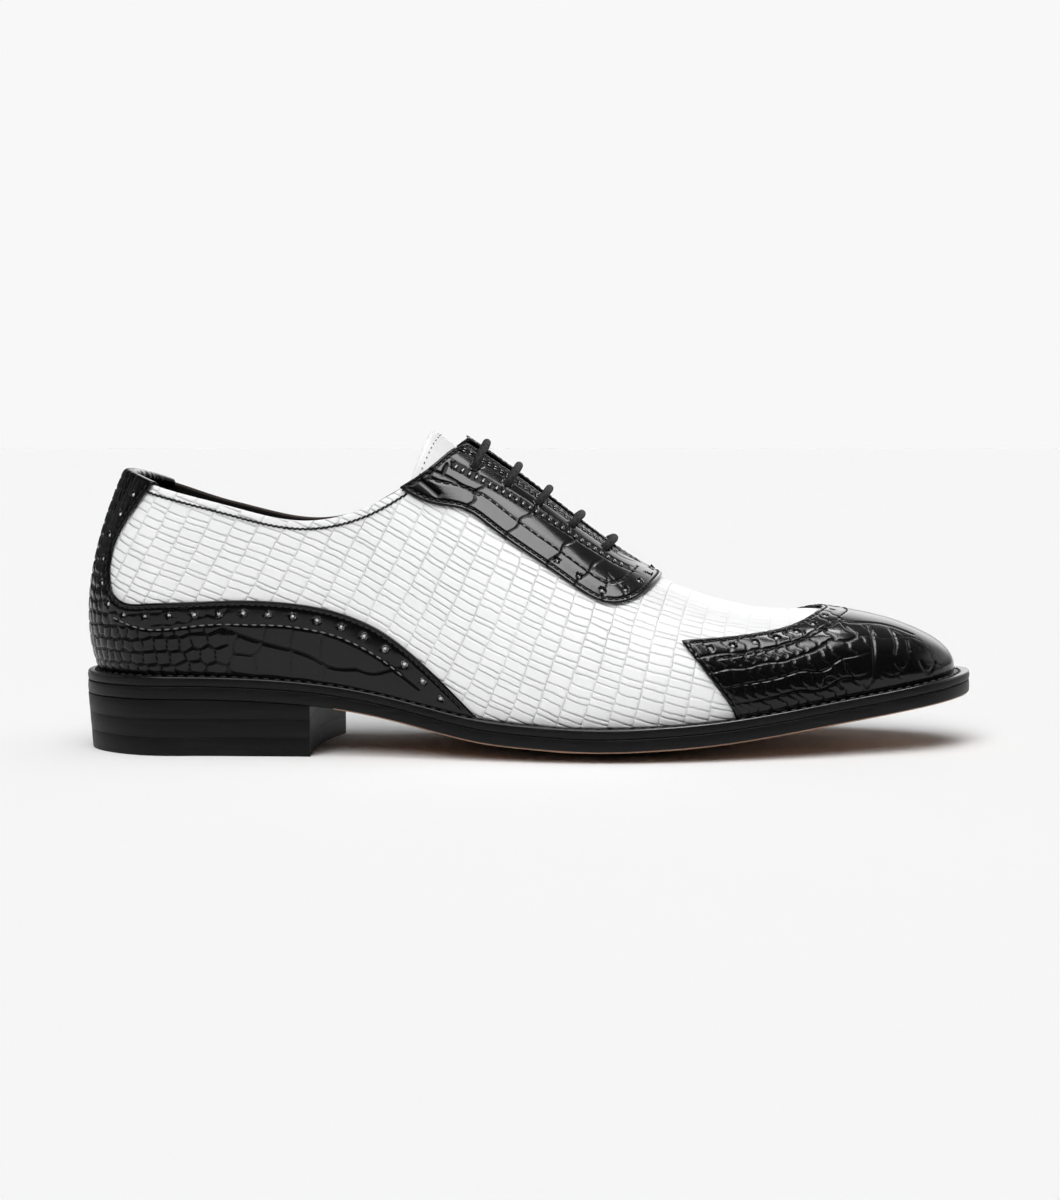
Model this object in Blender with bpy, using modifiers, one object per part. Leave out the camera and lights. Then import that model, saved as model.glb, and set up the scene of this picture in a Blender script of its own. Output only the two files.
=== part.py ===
"""Cap toe oxford, right shoe, standing empty on its heel and forefoot.

The upper is a lofted shell over the form of the last. Each row of SECTIONS is one
vertical section of that form: a cubic curve from the feather line up to the ridge.
Toe cap, heel counter, eyestay and tongue are cut from the same surface, and welt,
outsole, heel and insole follow its plan outline.

+X points to the toe, -Y to the outer (lateral) side and +Z up. The tables are in
millimetres, and everything is turned into metres where the meshes are made.
"""

import math
from collections import namedtuple

import bmesh
import bpy
import numpy as np

MM = 0.001

# Wall and layer thicknesses
UPPER_WALL = 2.0
OVERLAY_WALL = 1.2
TONGUE_WALL = 1.6
INSOLE_WALL = 2.5
WELT_WALL = 3.3
OUTSOLE_WALL = 4.2
GAP = 0.3

# Sole and heel
FOREFOOT_CAMBER = 4.4
TOE_CAMBER = 1.2
WELT_TUCK = 7.0
INSOLE_INSET = 0.6
HEEL_LIFT_HEIGHTS = (6.4, 12.6)
HEEL_TAPER = 0.075
HEEL_BREAST_OUTER_X = -73.0
HEEL_BREAST_INNER_X = -66.0
HEEL_BREAST_HOLLOW = 3.0

# Throat and lacing
THROAT_CENTRE = 5.0
THROAT_GAP = 4.6
THROAT_END_X = 30.0
LACE_DIAMETER = 2.5
LACE_CLEARANCE = 0.3
LACE_LEAN = 2.6
LACE_EYELET_X = (-19.3, -8.3, 2.2, 13.4, 24.8)
LACE_EYELET_REACH = 15.5

# Tongue
TONGUE_TOP_X = -27.0
TONGUE_WING_SETBACK = 12.0
TONGUE_FOOT_X = 29.0
TONGUE_REACH = 0.42
TONGUE_CLEARANCE = 1.7

# Facets: columns of the upper round the heel, along the side up to each spine_x, and round the toe
Span = namedtuple("Span", "spine_x columns")
HEEL_COLUMNS = 8
SIDE_SPANS = [
    Span(-44, 8), Span(-26.4, 3), Span(-21.5, 1), Span(THROAT_END_X, 6), Span(80, 6),
]
TOE_COLUMNS = 13
UPPER_ROWS = 11
OVERLAY_FOOT = 0.03

Section = namedtuple(
    "Section",
    "spine_x spine_y turn foot_out foot_in rim_out rim_in"
    " bulge_out bulge_in bulge_z shoulder_out shoulder_in shoulder_z top top_z",
)

# One row for each section, from the back of the heel to the tip of the toe. The section
# stands on the spine point and faces turn degrees from the toe. foot is the feather line's
# distance from the spine, rim is how far the sole stands out past it, bulge and shoulder
# are the curve's two handles, and top is its upper end. "out" is lateral, "in" is medial.
SECTIONS = [
    Section(-118, 0.0, 180, 29.5, 29.5, 5.3, 5.3, 38.1, 38.1, 48, 28.9, 28.9, 80, 13.5, 108),
    Section(-118, 0.0, 150, 29.2, 29.2, 5.1, 5.1, 37.4, 37.4, 48, 28.6, 28.6, 80, 14.5, 108),
    Section(-118, 0.0, 120, 28.7, 28.7, 4.8, 4.8, 36.2, 36.2, 48, 28.2, 28.2, 80, 16.5, 108),
    Section(-118, 0.0, 90, 28.3, 28.3, 4.6, 4.6, 35.6, 35.6, 47, 28.4, 28.4, 78, 19.0, 107),
    Section(-90, 0.0, 90, 29.4, 27.6, 4.2, 4.0, 36.2, 35.4, 45, 29.4, 29.0, 76, 20.5, 106),
    Section(-66, 0.0, 90, 31.6, 25.4, 3.4, 2.8, 38.2, 36.0, 44, 30.0, 29.4, 78, 20.0, 106),
    Section(-42, 0.5, 90, 36.2, 24.8, 3.0, 2.4, 43.6, 38.0, 44, 18.0, 17.0, 118.0, 0.0, 119.4),
    Section(-30, 1.2, 90, 39.6, 26.4, 3.2, 2.5, 46.6, 40.2, 43, 21.5, 20.0, 110.7, 0.0, 111.2),
    Section(-18, 2.0, 90, 43.0, 29.2, 3.5, 2.8, 49.4, 42.6, 42, 24.0, 22.0, 102.4, 0.0, 102.6),
    Section(6, 3.0, 90, 48.4, 36.6, 4.2, 3.8, 54.5, 46.4, 38, 29.0, 26.0, 85, 0.0, 85),
    Section(30, 3.0, 90, 50.0, 43.0, 4.5, 4.5, 56.2, 51.0, 33, 33.0, 29.0, 67, 0.0, 67),
    Section(55, 3.2, 90, 47.4, 43.4, 4.5, 4.5, 53.5, 49.8, 31, 33.0, 30.5, 53.8, 0.0, 53.8),
    Section(80, 3.5, 90, 41.8, 40.6, 4.6, 4.6, 47.2, 46.0, 30, 30.5, 30.0, 47.3, 0.0, 47.3),
    Section(100, 3.8, 75, 33.6, 34.4, 4.9, 4.9, 37.6, 38.4, 31.5, 25.5, 26.0, 46.6, 0.0, 46.6),
    Section(116, 4.0, 57, 27.4, 27.8, 5.4, 5.4, 30.0, 30.4, 32.5, 19.5, 19.8, 44.2, 0.0, 44.2),
    Section(126, 4.0, 32, 20.2, 20.3, 6.2, 6.2, 21.8, 21.9, 32.5, 13.5, 13.6, 41.6, 0.0, 41.6),
    Section(131, 4.0, 0, 15.0, 15.0, 6.8, 6.8, 15.8, 15.8, 31.5, 9.5, 9.5, 39.8, 0.0, 39.8),
]
COLUMN_KINDS = {"turn": "free", "top": "steady"}

Profile = namedtuple("Profile", "x z")

# Height of the welt's top edge along the shoe: heel seat, waist, ball and toe spring
SEAT_LINE = [
    Profile(-160, 26.5), Profile(-100, 26.5), Profile(-75, 25.0), Profile(-54, 22.0),
    Profile(-36, 18.0), Profile(-18, 14.0), Profile(0, 12.2), Profile(22, 11.3), Profile(42, 11.9),
    Profile(62, 13.3), Profile(82, 15.8), Profile(100, 18.5), Profile(120, 21.3),
    Profile(140, 24.2), Profile(160, 27.0),
]

# Collar edge in the side view, from the back seam to the top of the facings
COLLAR_LINE = [
    Profile(-150, 96.0), Profile(-139, 94.2), Profile(-125, 90.2), Profile(-100, 83.6),
    Profile(-75, 79.0), Profile(-64, 80.4), Profile(-53, 84.3), Profile(-44, 89.3),
    Profile(-34, 96.0), Profile(-26.4, 102.3), Profile(-21.5, 105.6), Profile(-14, 112.0),
]

# Lower edge of the eyestay in the side view, from the collar to its round front end
EYESTAY_EDGE = [
    Profile(-47.5, 91.2), Profile(-43.5, 89.0), Profile(-36.7, 85.2), Profile(-27.8, 83.0),
    Profile(-21, 81.2), Profile(-14, 76.4), Profile(-6, 70.6), Profile(3, 64.6), Profile(11.4, 58.8),
    Profile(18.2, 54.2), Profile(23.2, 51.8), Profile(28.0, 50.9), Profile(33.4, 51.8),
    Profile(38.8, 54.2), Profile(43.4, 57.4), Profile(45.6, 60.5), Profile(46.0, 66.0),
]

# Top edge of the heel counter in the side view, from the collar down the back strip,
# round its corner and forward to the welt
COUNTER_EDGE = [
    Profile(-120.5, 99.0), Profile(-126.4, 90.4), Profile(-132, 83.0), Profile(-137, 76.0),
    Profile(-140, 70.0), Profile(-141.2, 64.5), Profile(-141.2, 58.8), Profile(-139.8, 54.4),
    Profile(-136.4, 51.6), Profile(-128, 51.2), Profile(-113.7, 51.8), Profile(-96.4, 52.4),
    Profile(-85, 52.0), Profile(-70.4, 50.2), Profile(-59.6, 47.2), Profile(-52.0, 44.0),
    Profile(-42, 37.6), Profile(-31.6, 28.6), Profile(-24, 21.2), Profile(-13, 10.0),
]

# Rear edge of the toe cap's wings in the side view, from above their points to the welt
CAP_REAR_EDGE = [
    Profile(46.0, 48.5), Profile(51.0, 40.6), Profile(56.0, 33.2), Profile(61.0, 25.8),
    Profile(64.4, 20.7), Profile(67.1, 15.8), Profile(68.6, 8.0),
]

CapEdge = namedtuple("CapEdge", "spine_x girth")

# The toe cap's top edge, a U round the vamp, by station and share of the girth
CAP_TOP_EDGE = [
    CapEdge(40.0, 0.41), CapEdge(51.3, 0.46), CapEdge(58, 0.505), CapEdge(65, 0.545),
    CapEdge(74.7, 0.605), CapEdge(82, 0.65), CapEdge(89, 0.72), CapEdge(94.5, 0.82),
    CapEdge(98.7, 0.915), CapEdge(100.6, 0.965), CapEdge(101, 1.0),
]
EDGE_STEP = 4.0

LATERAL, MEDIAL = -1, 1


class Spline:
    """A smooth curve through (knot, value) pairs.

    Its ends are "free" or "flat". A "steady" one never passes beyond its values.
    """

    def __init__(self, knots, values, kind="free"):
        self.knots = np.asarray(knots, float)
        self.values = np.asarray(values, float)
        step = np.diff(self.knots)
        rise = np.diff(self.values) / step
        if kind == "steady":
            product = rise[:-1] * rise[1:]
            total = np.where(product > 0, rise[:-1] + rise[1:], 1)
            self.slopes = np.concatenate([[0], np.where(product > 0, 2 * product / total, 0), [0]])
            return
        count = len(self.knots)
        matrix = np.zeros((count, count))
        right = np.zeros(count)
        for i in range(1, count - 1):
            matrix[i, i - 1 : i + 2] = (1 / step[i - 1], 2 / step[i - 1] + 2 / step[i], 1 / step[i])
            right[i] = 3 * (rise[i - 1] / step[i - 1] + rise[i] / step[i])
        matrix[0, 0] = matrix[-1, -1] = 1
        if kind == "free":
            matrix[0, :2] = (2, 1)
            matrix[-1, -2:] = (1, 2)
            right[0], right[-1] = 3 * rise[0], 3 * rise[-1]
        self.slopes = np.linalg.solve(matrix, right)

    def __call__(self, at):
        at = np.clip(at, self.knots[0], self.knots[-1])
        i = np.clip(np.searchsorted(self.knots, at) - 1, 0, len(self.knots) - 2)
        step = self.knots[i + 1] - self.knots[i]
        t = (at - self.knots[i]) / step
        start, end = self.values[i], self.values[i + 1]
        return (
            start * (1 + 2 * t) * (1 - t) ** 2
            + end * t**2 * (3 - 2 * t)
            + step * (self.slopes[i] * t * (1 - t) ** 2 - self.slopes[i + 1] * t**2 * (1 - t))
        )


def profile_curve(rows):
    return Spline([row.x for row in rows], [row.z for row in rows])


seat_height = profile_curve(SEAT_LINE)
collar_height = profile_curve(COLLAR_LINE)


class Last:
    """The form of the last: girth 0 is the lateral feather line, 1 the ridge, 2 the medial one."""

    def __init__(self):
        turn = np.radians([row.turn for row in SECTIONS])
        foot = np.array([row.foot_out for row in SECTIONS])
        across = np.array([row.spine_y for row in SECTIONS])
        plan_x = np.array([row.spine_x for row in SECTIONS]) + foot * np.cos(turn)
        plan_y = across - foot * np.sin(turn)
        length = np.concatenate([[0], np.cumsum(np.hypot(np.diff(plan_x), np.diff(plan_y)))])
        self.stations = length / length[-1]
        self.columns = {
            name: Spline(self.stations, [getattr(row, name) for row in SECTIONS], COLUMN_KINDS.get(name, "flat"))
            for name in Section._fields
        }

    def at(self, name, station, side=None):
        if side is not None:
            name += "_out" if side == LATERAL else "_in"
        return float(self.columns[name](station))

    def station_of_spine(self, x):
        """Station whose section stands on the spine at x, in front of the heel's pivot."""
        low, high = self.stations[3], 1.0
        for _ in range(40):
            middle = (low + high) / 2
            if self.at("spine_x", middle) < x:
                low = middle
            else:
                high = middle
        return (low + high) / 2

    def plan(self, station, side, distance):
        """Plan point at a distance from the spine, along the station's section."""
        turn = math.radians(self.at("turn", station))
        return (
            self.at("spine_x", station) + distance * math.cos(turn),
            self.at("spine_y", station) + side * distance * math.sin(turn),
        )

    def section(self, station, side):
        """The four handles of a section, as (distance from the spine, height)."""
        foot = self.at("foot", station, side)
        foot_x, foot_y = self.plan(station, side, foot)
        shoulder = self.at("shoulder", station, side)
        top = max(self.at("top", station), 0.0)
        top_z = self.at("top_z", station)
        shoulder_z = min(self.at("shoulder_z", station), top_z)
        turn = math.radians(self.at("turn", station))
        if turn < math.pi / 2:
            # The shoulder follows the ridge's slope, so both sides meet without a crease.
            shoulder_z += self.ridge_slope(station) * math.cos(turn) * shoulder
        return (
            (foot, seat_surface(foot_x, foot_y) + GAP),
            (self.at("bulge", station, side), self.at("bulge_z", station)),
            (shoulder, shoulder_z),
            (top, top_z),
        )

    def ridge_slope(self, station):
        step = 0.004
        before, after = max(station - step, 0), min(station + step, 1)
        run = self.at("spine_x", after) - self.at("spine_x", before)
        return (self.at("top_z", after) - self.at("top_z", before)) / run

    def point(self, station, girth, lift=0.0):
        """A point of the form, moved out along its normal by lift."""
        base = self.base_point(station, girth)
        if not lift:
            return base
        step = 0.002
        side = LATERAL if girth <= 1 else MEDIAL
        before, after = max(station - step, 0), min(station + step, 1)
        along = self.base_point(after, girth) - self.base_point(before, girth)
        around_girth = girth
        if before == 0:
            along = np.array([0.0, side, 0.0])
        elif after == 1:
            # Both sides share the section at the toe's tip, so its slope is read on one side.
            along = np.array([0.0, -side, 0.0])
            around_girth = min(girth, 1 - step) if side == LATERAL else max(girth, 1 + step)
        low, high = max(around_girth - step, 0), min(around_girth + step, 2)
        around = self.base_point(station, high) - self.base_point(station, low)
        normal = np.cross(along, around)
        normal /= np.linalg.norm(normal)
        return base + normal * lift

    def base_point(self, station, girth):
        side = LATERAL if girth <= 1 else MEDIAL
        share = girth if girth <= 1 else 2 - girth
        distance, height = bezier(self.section(station, side), share)
        x, y = self.plan(station, side, distance)
        return np.array([x, y, height])

    def share_at_height(self, station, side, height):
        """Share of the girth where the section first reaches a height that may depend on x."""
        low, high = 0.0, 1.0
        section = self.section(station, side)
        for _ in range(40):
            middle = (low + high) / 2
            distance, z = bezier(section, middle)
            wanted = height(self.plan(station, side, distance)[0]) if callable(height) else height
            if z < wanted:
                low = middle
            else:
                high = middle
        return (low + high) / 2

    def share_at_distance(self, station, side, distance):
        """Share of the girth where the section has come back to a distance from the ridge."""
        low, high = 0.3, 1.0
        section = self.section(station, side)
        for _ in range(40):
            middle = (low + high) / 2
            if bezier(section, middle)[0] > distance:
                low = middle
            else:
                high = middle
        return (low + high) / 2


def bezier(handles, t):
    weights = ((1 - t) ** 3, 3 * (1 - t) ** 2 * t, 3 * (1 - t) * t**2, t**3)
    return tuple(sum(w * handle[i] for w, handle in zip(weights, handles)) for i in (0, 1))


def smooth_step(low, high, value):
    t = np.clip((value - low) / (high - low), 0, 1)
    return t * t * (3 - 2 * t)


def camber(x):
    """How far the sole's middle hangs below its edges."""
    forefoot = FOREFOOT_CAMBER * smooth_step(-70, -5, x)
    return forefoot + (TOE_CAMBER - FOREFOOT_CAMBER) * smooth_step(60, 125, x)


def seat_surface(x, y):
    """Height of the welt's top, cambered across the sole."""
    half_width = 50.0
    share = min(abs(y) / half_width, 1.0)
    edge = min(half_width, sole_half_width(x)) / half_width
    return seat_height(x) - camber(x) * (edge**2 - min(share, edge) ** 2)


def sole_half_width(x):
    return float(np.interp(x, [-152, -60, -20, 10, 50, 90, 120, 152], [30, 31, 42, 50, 49, 40, 30, 8]))


last = Last()


def sole_outline(side, shift):
    """Plan line of one side, heel to toe: shift 1 is the sole's rim, below 0 it is that far inside the feather line."""
    points = []
    for station in np.linspace(0, 1, 160):
        out = last.at("rim", station, side) if shift == 1 else shift
        points.append(last.plan(station, side, last.at("foot", station, side) + out))
    return np.array(points)


def fresh_collection(name):
    collection = bpy.data.collections.new(name)
    bpy.context.scene.collection.children.link(collection)
    return collection


def leather(name, colour, roughness):
    material = bpy.data.materials.new(name)
    material.use_nodes = True
    shader = material.node_tree.nodes["Principled BSDF"]
    shader.inputs["Base Color"].default_value = (*colour, 1)
    shader.inputs["Roughness"].default_value = roughness
    shader.inputs["Metallic"].default_value = 0.0
    return material


def mesh_object(name, bm, material):
    """Turns a bmesh in millimetres into a shaded object in metres."""
    bmesh.ops.remove_doubles(bm, verts=bm.verts, dist=0.01)
    bmesh.ops.scale(bm, vec=(MM, MM, MM), verts=bm.verts)
    mesh = bpy.data.meshes.new(name)
    bm.to_mesh(mesh)
    bm.free()
    mesh.shade_smooth()
    mesh.set_sharp_from_angle(angle=math.radians(40))
    mesh.materials.append(material)
    obj = bpy.data.objects.new(name, mesh)
    parts.objects.link(obj)
    return obj


def add_grid(bm, rows, turn_over=False):
    """Adds a sheet of quads through a grid of points."""
    made = [[bm.verts.new(point) for point in row] for row in rows]
    for row, following in zip(made, made[1:]):
        for a, b, c, d in zip(row, row[1:], following[1:], following):
            bm.faces.new((a, d, c, b) if turn_over else (a, b, c, d))


def thicken(obj, wall, outwards):
    solid = obj.modifiers.new("wall", "SOLIDIFY")
    solid.thickness = wall * MM
    solid.offset = 1.0 if outwards else -1.0
    return obj


def shell(name, sheets, wall, outwards, material):
    """A leather piece: sheets of the last's surface, joined where they meet and given a wall."""
    bm = bmesh.new()
    for rows, turn_over in sheets:
        add_grid(bm, rows, turn_over)
    return thicken(mesh_object(name, bm, material), wall, outwards)


def loft(name, rings, closed, material):
    """A solid through rings of equal length, closed on itself or capped at both ends."""
    bm = bmesh.new()
    made = [[bm.verts.new(point) for point in ring] for ring in rings]
    pairs = list(zip(made, made[1:] + made[:1])) if closed else list(zip(made, made[1:]))
    for ring, following in pairs:
        for i in range(len(ring)):
            k = (i + 1) % len(ring)
            bm.faces.new((ring[i], ring[k], following[k], following[i]))
    if not closed:
        bm.faces.new(list(reversed(made[0])))
        bm.faces.new(made[-1])
    bmesh.ops.remove_doubles(bm, verts=bm.verts, dist=0.01)
    bmesh.ops.dissolve_degenerate(bm, edges=bm.edges, dist=0.001)
    bmesh.ops.recalc_face_normals(bm, faces=bm.faces)
    return mesh_object(name, bm, material)


def upper_girth_limits(station):
    """Where the lateral and medial walls end at a station: collar, throat or the vamp's join."""
    spine_x = last.at("spine_x", station)
    if spine_x > THROAT_END_X:
        fade = 1 - smooth_step(THROAT_END_X, 100, spine_x)
        join = 1 - (1 - last.share_at_distance(station, LATERAL, THROAT_CENTRE)) * fade
        return join, join
    lateral = last.share_at_height(station, LATERAL, collar_height)
    medial = 2 - last.share_at_height(station, MEDIAL, collar_height)
    if last.at("top", station) > 0.01:
        return lateral, medial
    half_gap = THROAT_GAP / 2
    near = last.share_at_distance(station, LATERAL, THROAT_CENTRE + half_gap)
    far = last.share_at_distance(station, LATERAL, THROAT_CENTRE - half_gap)
    over_the_ridge = medial < 1.0001
    return min(lateral, near), far if over_the_ridge else max(medial, far)


def upper_stations():
    """Stations of the upper's columns, closer round the heel and the toe."""
    stations = list(np.linspace(0, last.stations[3], HEEL_COLUMNS + 1))
    for span in SIDE_SPANS:
        stations += list(np.linspace(stations[-1], last.station_of_spine(span.spine_x), span.columns + 1)[1:])
    return stations + list(np.linspace(stations[-1], 1, TOE_COLUMNS + 1)[1:])


def walls(first_x, last_x, foot, lift):
    """The upper's two walls between two spine stations, from a share of the girth upwards."""
    lateral, medial = [], []
    shares = np.linspace(0, 1, UPPER_ROWS + 1)
    shares[0] = foot
    for station in upper_stations():
        if not first_x <= last.at("spine_x", station) <= last_x:
            continue
        near, far = upper_girth_limits(station)
        lateral.append([last.point(station, near * share, lift) for share in shares])
        medial.append([last.point(station, 2 - (2 - far) * share, lift) for share in shares])
    return [(lateral, True), (medial, False)]


def upper():
    return shell("upper", walls(-200, 200, 0, 0), UPPER_WALL, False, white_leather)


def through(points, step):
    """Points of a smooth line through the given ones, about a step apart."""
    points = np.array(points, float)
    run = np.concatenate([[0], np.cumsum(np.linalg.norm(np.diff(points, axis=0), axis=1))])
    at = np.linspace(0, run[-1], round(run[-1] / step) + 1)
    return np.stack([Spline(run, points[:, i])(at) for i in range(points.shape[1])], axis=1)


def prism(name, outline, place, low, high):
    """A cutter: a plan or side outline drawn out between two distances."""
    bm = bmesh.new()
    rings = [[bm.verts.new(place(a, b, level)) for a, b in outline] for level in (low, high)]
    for i in range(len(outline)):
        k = (i + 1) % len(outline)
        bm.faces.new((rings[0][i], rings[0][k], rings[1][k], rings[1][i]))
    bm.faces.new(list(reversed(rings[0])))
    bm.faces.new(rings[1])
    bmesh.ops.recalc_face_normals(bm, faces=bm.faces)
    bmesh.ops.scale(bm, vec=(MM, MM, MM), verts=bm.verts)
    mesh = bpy.data.meshes.new(name)
    bm.to_mesh(mesh)
    bm.free()
    obj = bpy.data.objects.new(name, mesh)
    obj.hide_render = True
    obj.display_type = "WIRE"
    cutters.objects.link(obj)
    return obj


def side_view(x, z, y):
    return (x, y, z)


def plan_view(x, y, z):
    return (x, y, z)


def cut(obj, cutter, operation):
    boolean = obj.modifiers.new(cutter.name, "BOOLEAN")
    boolean.operation = operation
    boolean.solver = "EXACT"
    boolean.object = cutter
    return obj


def side_line(rows):
    return [tuple(point) for point in through(rows, EDGE_STEP)]


def toe_cap():
    """The cap wraps the toe, with a point on each side and a U cut out for the vamp."""
    cap = shell("toe_cap", walls(40, 200, OVERLAY_FOOT, GAP), OVERLAY_WALL, True, black_leather)
    rear = side_line(CAP_REAR_EDGE) + [(30, 8), (30, 48.5)]
    cut(cap, prism("cap_rear_cutter", rear, side_view, -70, 70), "DIFFERENCE")
    lateral, medial = [], []
    for row in CAP_TOP_EDGE:
        station = last.station_of_spine(row.spine_x)
        lateral.append(last.point(station, row.girth)[:2])
        medial.append(last.point(station, 2 - row.girth)[:2])
    vamp = through(lateral + medial[-2::-1], EDGE_STEP)
    outline = [tuple(point) for point in vamp] + [(30, 70), (30, -70)]
    return cut(cap, prism("cap_vamp_cutter", outline, plan_view, 10, 80), "DIFFERENCE")


def heel_counter():
    """The counter wraps the heel and sends a strip up the back seam to the collar."""
    counter = shell("heel_counter", walls(-200, -5, OVERLAY_FOOT, GAP), OVERLAY_WALL, True, black_leather)
    outline = side_line(COUNTER_EDGE) + [(-170, 10), (-170, 99)]
    return cut(counter, prism("counter_cutter", outline, side_view, -70, 70), "INTERSECT")


def eyestay():
    """Both facings and the round front end that joins them below the throat."""
    stay = shell("eyestay", walls(-60, 60, OVERLAY_FOOT, GAP), OVERLAY_WALL, True, black_leather)
    outline = side_line(EYESTAY_EDGE) + [(46.0, 125), (-47.5, 125)]
    return cut(stay, prism("eyestay_cutter", outline, side_view, -70, 70), "INTERSECT")


def tongue():
    rows = []
    for reach in np.linspace(-TONGUE_REACH, TONGUE_REACH, 11):
        setback = TONGUE_WING_SETBACK * (abs(reach) / TONGUE_REACH) ** 1.6
        row = []
        for x in np.linspace(TONGUE_TOP_X - setback, TONGUE_FOOT_X, 13):
            row.append(last.point(last.station_of_spine(x), 1 + reach, -UPPER_WALL - TONGUE_CLEARANCE))
        rows.append(row)
    return shell("tongue", [(rows, False)], TONGUE_WALL, False, white_leather)


def slab(name, outlines, top, bottom, stations, across, material):
    """A sole layer between two heights, through cross sections from heel to toe."""
    lateral, medial = outlines
    start, end = max(lateral[0, 0], medial[0, 0]), min(lateral[-1, 0], medial[-1, 0])
    rings = []
    for share in np.linspace(-0.5, 0.5, stations):
        x = (start + end) / 2 + (end - start) / 2 * math.sin(math.pi * share)
        near = np.interp(x, lateral[:, 0], lateral[:, 1])
        far = np.interp(x, medial[:, 0], medial[:, 1])
        ys = np.linspace(near, far, across)
        rings.append([(x, y, top(x, y)) for y in ys] + [(x, y, bottom(x, y)) for y in reversed(ys)])
    return loft(name, rings, False, material)


def outsole_bottom(x, y):
    return max(outsole_top(x, y) - OUTSOLE_WALL, 0.0)


def outsole_top(x, y):
    return seat_surface(x, y) - WELT_WALL - GAP


def outsole():
    outlines = [sole_outline(side, 1) for side in (LATERAL, MEDIAL)]
    return slab("outsole", outlines, outsole_top, outsole_bottom, 41, 7, sole_leather)


def insole():
    inset = -UPPER_WALL - INSOLE_INSET
    outlines = [sole_outline(side, inset) for side in (LATERAL, MEDIAL)]

    def bottom(x, y):
        return seat_surface(x, y) + GAP

    def top(x, y):
        return bottom(x, y) + INSOLE_WALL

    return slab("insole", outlines, top, bottom, 33, 5, lining_leather)


def welt():
    rings = []
    for side, stations in ((LATERAL, np.linspace(0, 1, 49)[:-1]), (MEDIAL, np.linspace(1, 0, 49)[:-1])):
        for station in stations:
            foot = last.at("foot", station, side)
            outer = last.plan(station, side, foot + last.at("rim", station, side))
            inner = last.plan(station, side, foot - WELT_TUCK)
            outer_z, inner_z = seat_surface(*outer), seat_surface(*inner)
            rings.append([
                (*outer, outer_z), (*inner, inner_z),
                (*inner, inner_z - WELT_WALL), (*outer, outer_z - WELT_WALL),
            ])
    return loft("welt", rings, True, black_edge)


def heel_outline(z):
    """Plan line of the heel at a height: the sole's rim drawn in towards the floor, closed by the breast."""
    inset = HEEL_TAPER * (outsole_bottom(-110, 0) - z)
    points = []
    for side, breast in ((LATERAL, HEEL_BREAST_OUTER_X), (MEDIAL, HEEL_BREAST_INNER_X)):
        line = []
        for station in np.linspace(0, last.station_of_spine(breast), 17):
            reach = last.at("foot", station, side) + last.at("rim", station, side) - inset
            line.append(last.plan(station, side, reach))
        points.append(line)
    lateral, medial = points
    start, end = np.array(lateral[-1]), np.array(medial[-1])
    breast_line = []
    for share in np.linspace(0, 1, 9)[1:-1]:
        x, y = start + (end - start) * share
        breast_line.append((x - HEEL_BREAST_HOLLOW * math.sin(math.pi * share), y))
    return lateral + breast_line + medial[:0:-1]


def heel_piece(name, low, high, material):
    """One lift of the heel between two heights, each given as a function of x and y."""
    rings = []
    for level in (low, high):
        rings.append([(x, y, level(x, y)) for x, y in heel_outline(level(-110, 0))])
    return loft(name, rings, False, material)


def heel():
    first, second = HEEL_LIFT_HEIGHTS
    heel_piece("heel_top_piece", lambda x, y: 0.0, lambda x, y: first, heel_rubber)
    heel_piece("heel_lift_lower", lambda x, y: first + GAP, lambda x, y: second, black_edge)
    heel_piece(
        "heel_lift_upper",
        lambda x, y: second + GAP,
        lambda x, y: outsole_bottom(x, y) - GAP,
        black_edge,
    )


def lace_bars():
    """Five straight bars over the throat, each square to it and lying on the facings."""
    lift = GAP + OVERLAY_WALL + LACE_CLEARANCE + LACE_DIAMETER / 2
    for number, eyelet_x in enumerate(LACE_EYELET_X, start=1):
        ends = []
        station = last.station_of_spine(eyelet_x)
        for side in (LATERAL, MEDIAL):
            share = last.share_at_distance(station, side, LACE_EYELET_REACH)
            ends.append(share if side == LATERAL else 2 - share)
        curve = bpy.data.curves.new(f"lace_bar_{number}", "CURVE")
        curve.dimensions = "3D"
        curve.bevel_depth = LACE_DIAMETER / 2 * MM
        curve.bevel_resolution = 1
        curve.use_fill_caps = True
        spline = curve.splines.new("POLY")
        girths = np.linspace(*ends, 9)
        spline.points.add(len(girths) - 1)
        for point, girth, share in zip(spline.points, girths, np.linspace(-1, 1, len(girths))):
            x = eyelet_x + LACE_LEAN * (1 - share**2)
            place = last.point(last.station_of_spine(x), girth, lift) * MM
            point.co = (*place, 1)
        curve.materials.append(lace_cord)
        parts.objects.link(bpy.data.objects.new(curve.name, curve))


for old in list(bpy.data.objects):
    bpy.data.objects.remove(old)
parts = fresh_collection("cap_toe_oxford")
cutters = fresh_collection("cutters")
white_leather = leather("white_lizard_leather", (0.86, 0.86, 0.86), 0.45)
black_leather = leather("black_croc_leather", (0.012, 0.012, 0.012), 0.15)
black_edge = leather("black_sole_edge", (0.02, 0.02, 0.02), 0.4)
sole_leather = leather("outsole_leather", (0.45, 0.24, 0.13), 0.55)
heel_rubber = leather("heel_rubber", (0.02, 0.02, 0.02), 0.6)
lining_leather = leather("black_lining", (0.02, 0.018, 0.016), 0.55)
lace_cord = leather("lace_cord", (0.015, 0.015, 0.015), 0.7)

upper()
toe_cap()
heel_counter()
eyestay()
tongue()
insole()
welt()
outsole()
heel()
lace_bars()
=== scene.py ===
import math

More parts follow.
